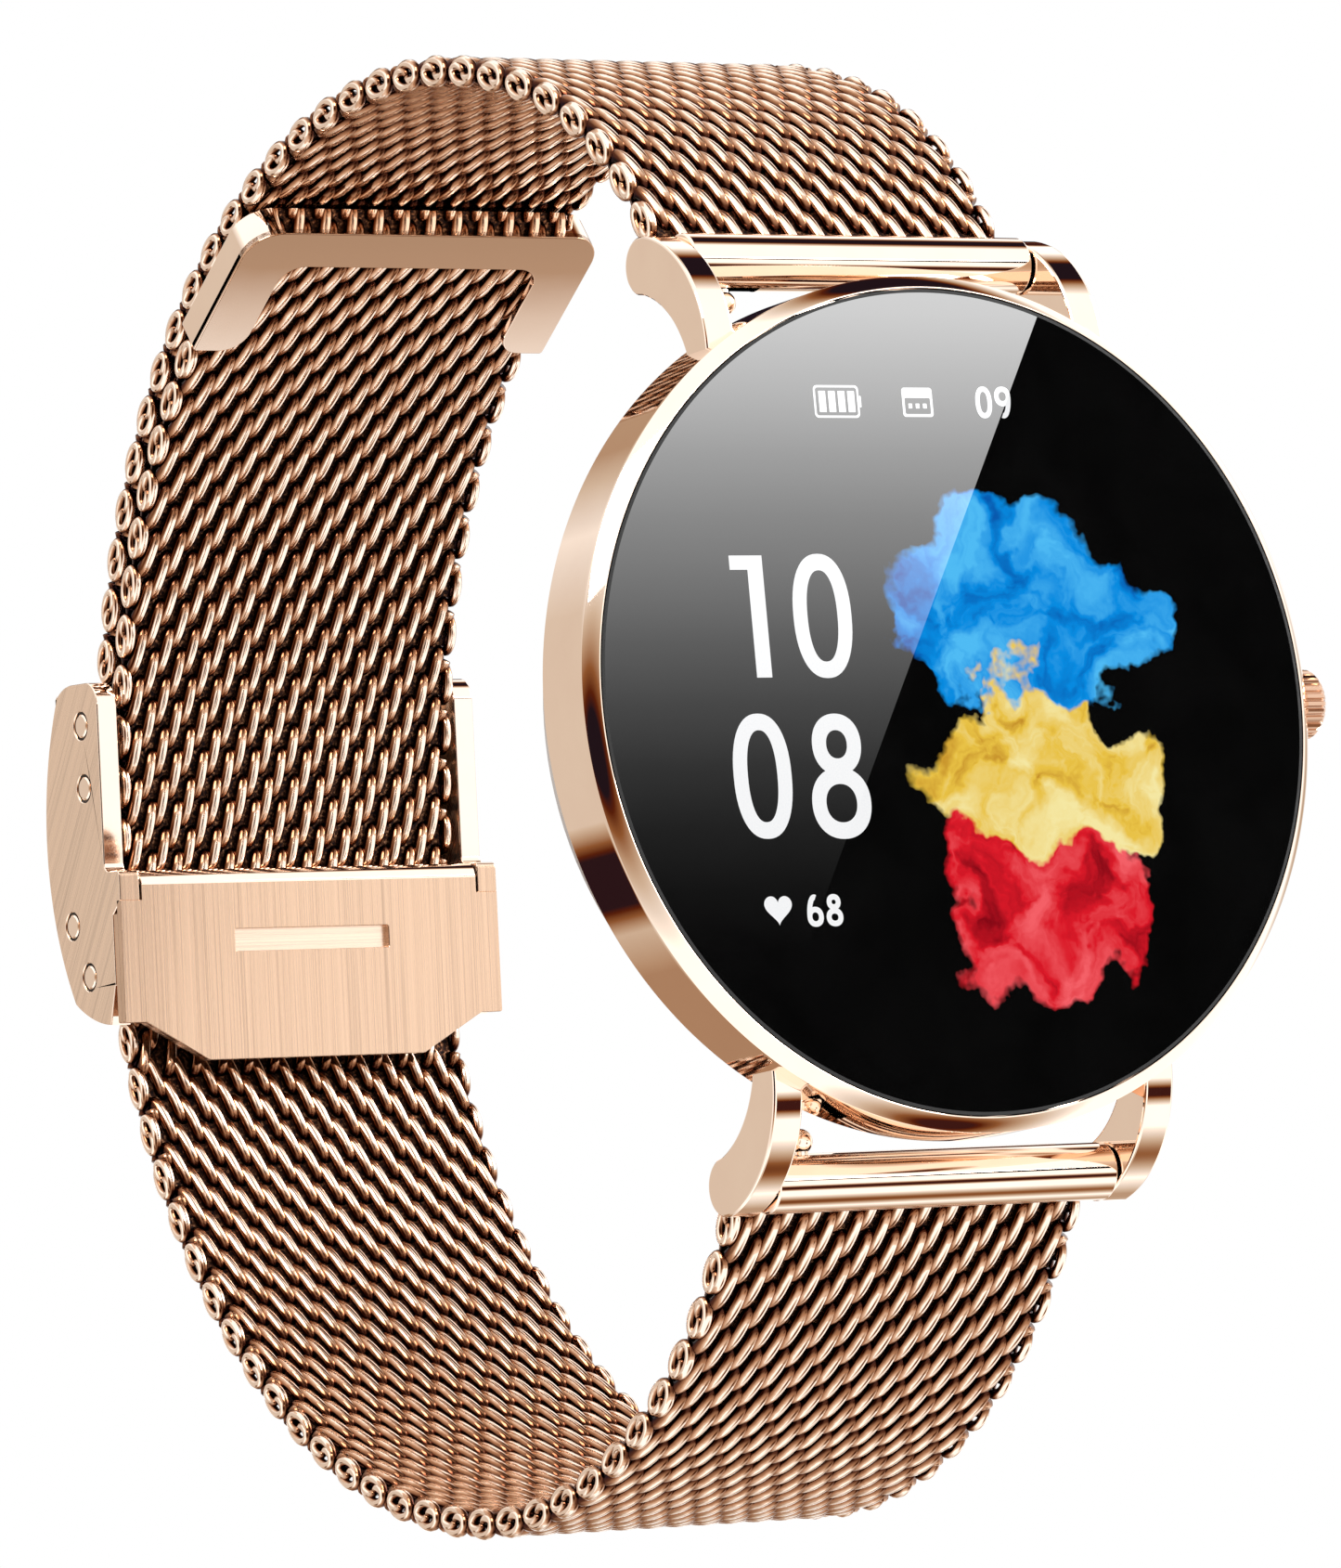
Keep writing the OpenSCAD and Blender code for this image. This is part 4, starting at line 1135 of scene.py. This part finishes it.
# where the tent is dark: direction, angle of its dark middle, angle where it ends, how dark
SHADES = [
    ((0.50, 0.02, 0.86), 9, 24, 1.0), ((-0.84, -0.53, -0.03), 7, 40, 1.0),
    ((0.42, -0.15, -0.90), 5, 26, 0.92), ((0.85, 0.53, 0.04), 2, 13, 0.55),
    ((0.47, 0.83, 0.29), 7, 20, 1.0), ((0.20, 0.83, 0.52), 3, 9, 0.92),
    ((0.05, 0.84, 0.54), 3, 24, 0.58), ((-0.45, 0.84, -0.31), 4, 12, 0.95),
    ((-0.08, 0.84, -0.54), 10, 34, 0.62), ((0.28, 0.84, -0.47), 3, 10, 0.85),
    ((0.55, 0.69, 0.47), 4, 9, 0.92), ((-0.45, 0.88, 0.0), 20, 40, 0.36), ((0.53, 0.62, -0.58), 4, 24, 0.55),
    ((0.55, -0.78, -0.32), 3, 10, 0.92)]


def build_world():
    """A bright tent with a few soft dark flags, which polished metal needs to show its shape."""
    world = bpy.data.worlds.new("tent")
    bpy.context.scene.world = world
    world.use_nodes = True
    tree = world.node_tree
    tree.nodes.clear()
    where = add(tree, "TexCoord").outputs["Generated"]
    dark = 0.0
    for direction, inner, outer, peak in SHADES:
        dot = operate(tree, "VectorMath", "DOT_PRODUCT", where, Vector(direction).normalized())
        angle = math_node(tree, "ARCCOSINE", math_node(tree, "MINIMUM", dot.outputs["Value"], 1.0))
        fade = add(tree, "MapRange", Value=angle, From_Min=outer * DEG, From_Max=inner * DEG, To_Max=peak)
        dark = math_node(tree, "MAXIMUM", dark, fade.outputs["Result"])
    tent = ramp(tree, dark, [
        (0.0, (1.0, 1.0, 1.0)), (0.10, (0.80, 0.79, 0.78)), (0.24, (0.62, 0.60, 0.58)),
        (0.42, (0.47, 0.40, 0.33)), (0.58, (0.34, 0.235, 0.16)), (0.72, (0.20, 0.082, 0.030)),
        (0.86, (0.071, 0.012, 0.003)), (0.96, (0.011, 0.006, 0.010))])
    lit = add(tree, "Background", Color=tent, Strength=1.38)
    seen = add(tree, "Background", Color=(1, 1, 1, 1))
    mix = add(tree, "MixShader", Fac=add(tree, "LightPath").outputs["Is Camera Ray"])
    tree.links.new(lit.outputs[0], mix.inputs[1])
    tree.links.new(seen.outputs[0], mix.inputs[2])
    add(tree, "OutputWorld", Surface=mix.outputs[0])


def build_glare(eye):
    """A softbox whose mirror image lies over part of the glass, fading downwards, beside a black flag."""
    behind = Vector((eye.x, 2 * FRONT - eye.y, eye.z))
    depth = FRONT - 2000
    def cast(x, z):
        ray = Vector((x, FRONT, z)) - behind
        return tuple(behind + ray * ((depth - behind.y) / ray.y))
    def edge(z):
        return -2.66 + (z - 1.77) * (6.73 + 2.66) / (19.02 - 1.77)
    top, low, wide = 26.0, -24.0, 24.0
    glow = [(0.24, 0.0), (0.30, 0.0053), (0.36, 0.0164), (0.42, 0.0395), (0.48, 0.081), (0.54, 0.143),
            (0.60, 0.232), (0.66, 0.323), (0.72, 0.45), (0.78, 0.609), (0.86, 0.807), (1.0, 1.0)]
    none = [(0.0, 0.0), (1.0, 0.0)]
    left = [(-wide, top), (edge(top), top), (edge(low), low), (-wide, low)]
    right = [(edge(top), top), (wide, top), (wide, low), (edge(low), low)]
    for name, corners, stops, strength in (("softbox", left, glow, 18.0), ("flag", right, none, 0.0)):
        card = new_mesh(name, [cast(x, z) for x, z in corners], [(0, 1, 2, 3)])
        mat = bpy.data.materials.new(name + " light")
        mat.use_nodes = True
        tree = mat.node_tree
        tree.nodes.clear()
        height = add(tree, "SeparateXYZ", Vector=add(tree, "TexCoord").outputs["Generated"]).outputs["Z"]
        emit = add(tree, "Emission", Color=ramp(tree, height, stops), Strength=strength)
        add(tree, "OutputMaterial", Surface=emit.outputs[0])
        card.data.materials.append(mat)
        card.visible_camera = False
        card.visible_diffuse = False
        card.visible_shadow = False


def build_floor():
    """A round pale table well below the watch."""
    radius, depth, segs = 300, -150, 96
    verts = [(0, 0, depth)] + [(x, y, depth) for x, y in arc(0, 0, radius, 0, 360 - 360 / segs, segs)]
    faces = [(0, k + 1, (k + 1) % segs + 1) for k in range(segs)]
    floor = new_mesh("floor", verts, faces)
    floor.data.materials.append(dull("pale floor", (0.82, 0.81, 0.80), (0.88, 0.87, 0.86), 0.8, 0.01))
    floor.visible_glossy = False


def build_lights():
    """Two soft lamps; most of the light is the tent's."""
    watch_middle = Vector((0, 15, 0)) * MM
    lamps = (("key", (-420, -380, 520), 6.0, 400), ("fill", (520, -200, 260), 2.0, 300))
    for name, place, energy, size in lamps:
        data = bpy.data.lights.new(name, "AREA")
        data.energy = energy
        data.size = size * MM
        lamp = in_scene(name, data)
        lamp.location = Vector(place) * MM
        lamp.rotation_euler = (watch_middle - lamp.location).to_track_quat("-Z", "Y").to_euler()
        lamp.visible_camera = False


# ---- make everything

def main():
    bpy.context.scene.view_settings.view_transform = "Standard"
    looks = make_materials()
    for build in (dress_cad, build_case, build_glass, build_dial, build_crown, build_tubes, build_band,
                  build_keeper, build_clasp, build_lock, build_cover, build_ferrule):
        build(looks)
    eye = build_camera()
    build_world()
    build_glare(eye)
    build_floor()
    build_lights()
    bpy.context.view_layer.update()


main()
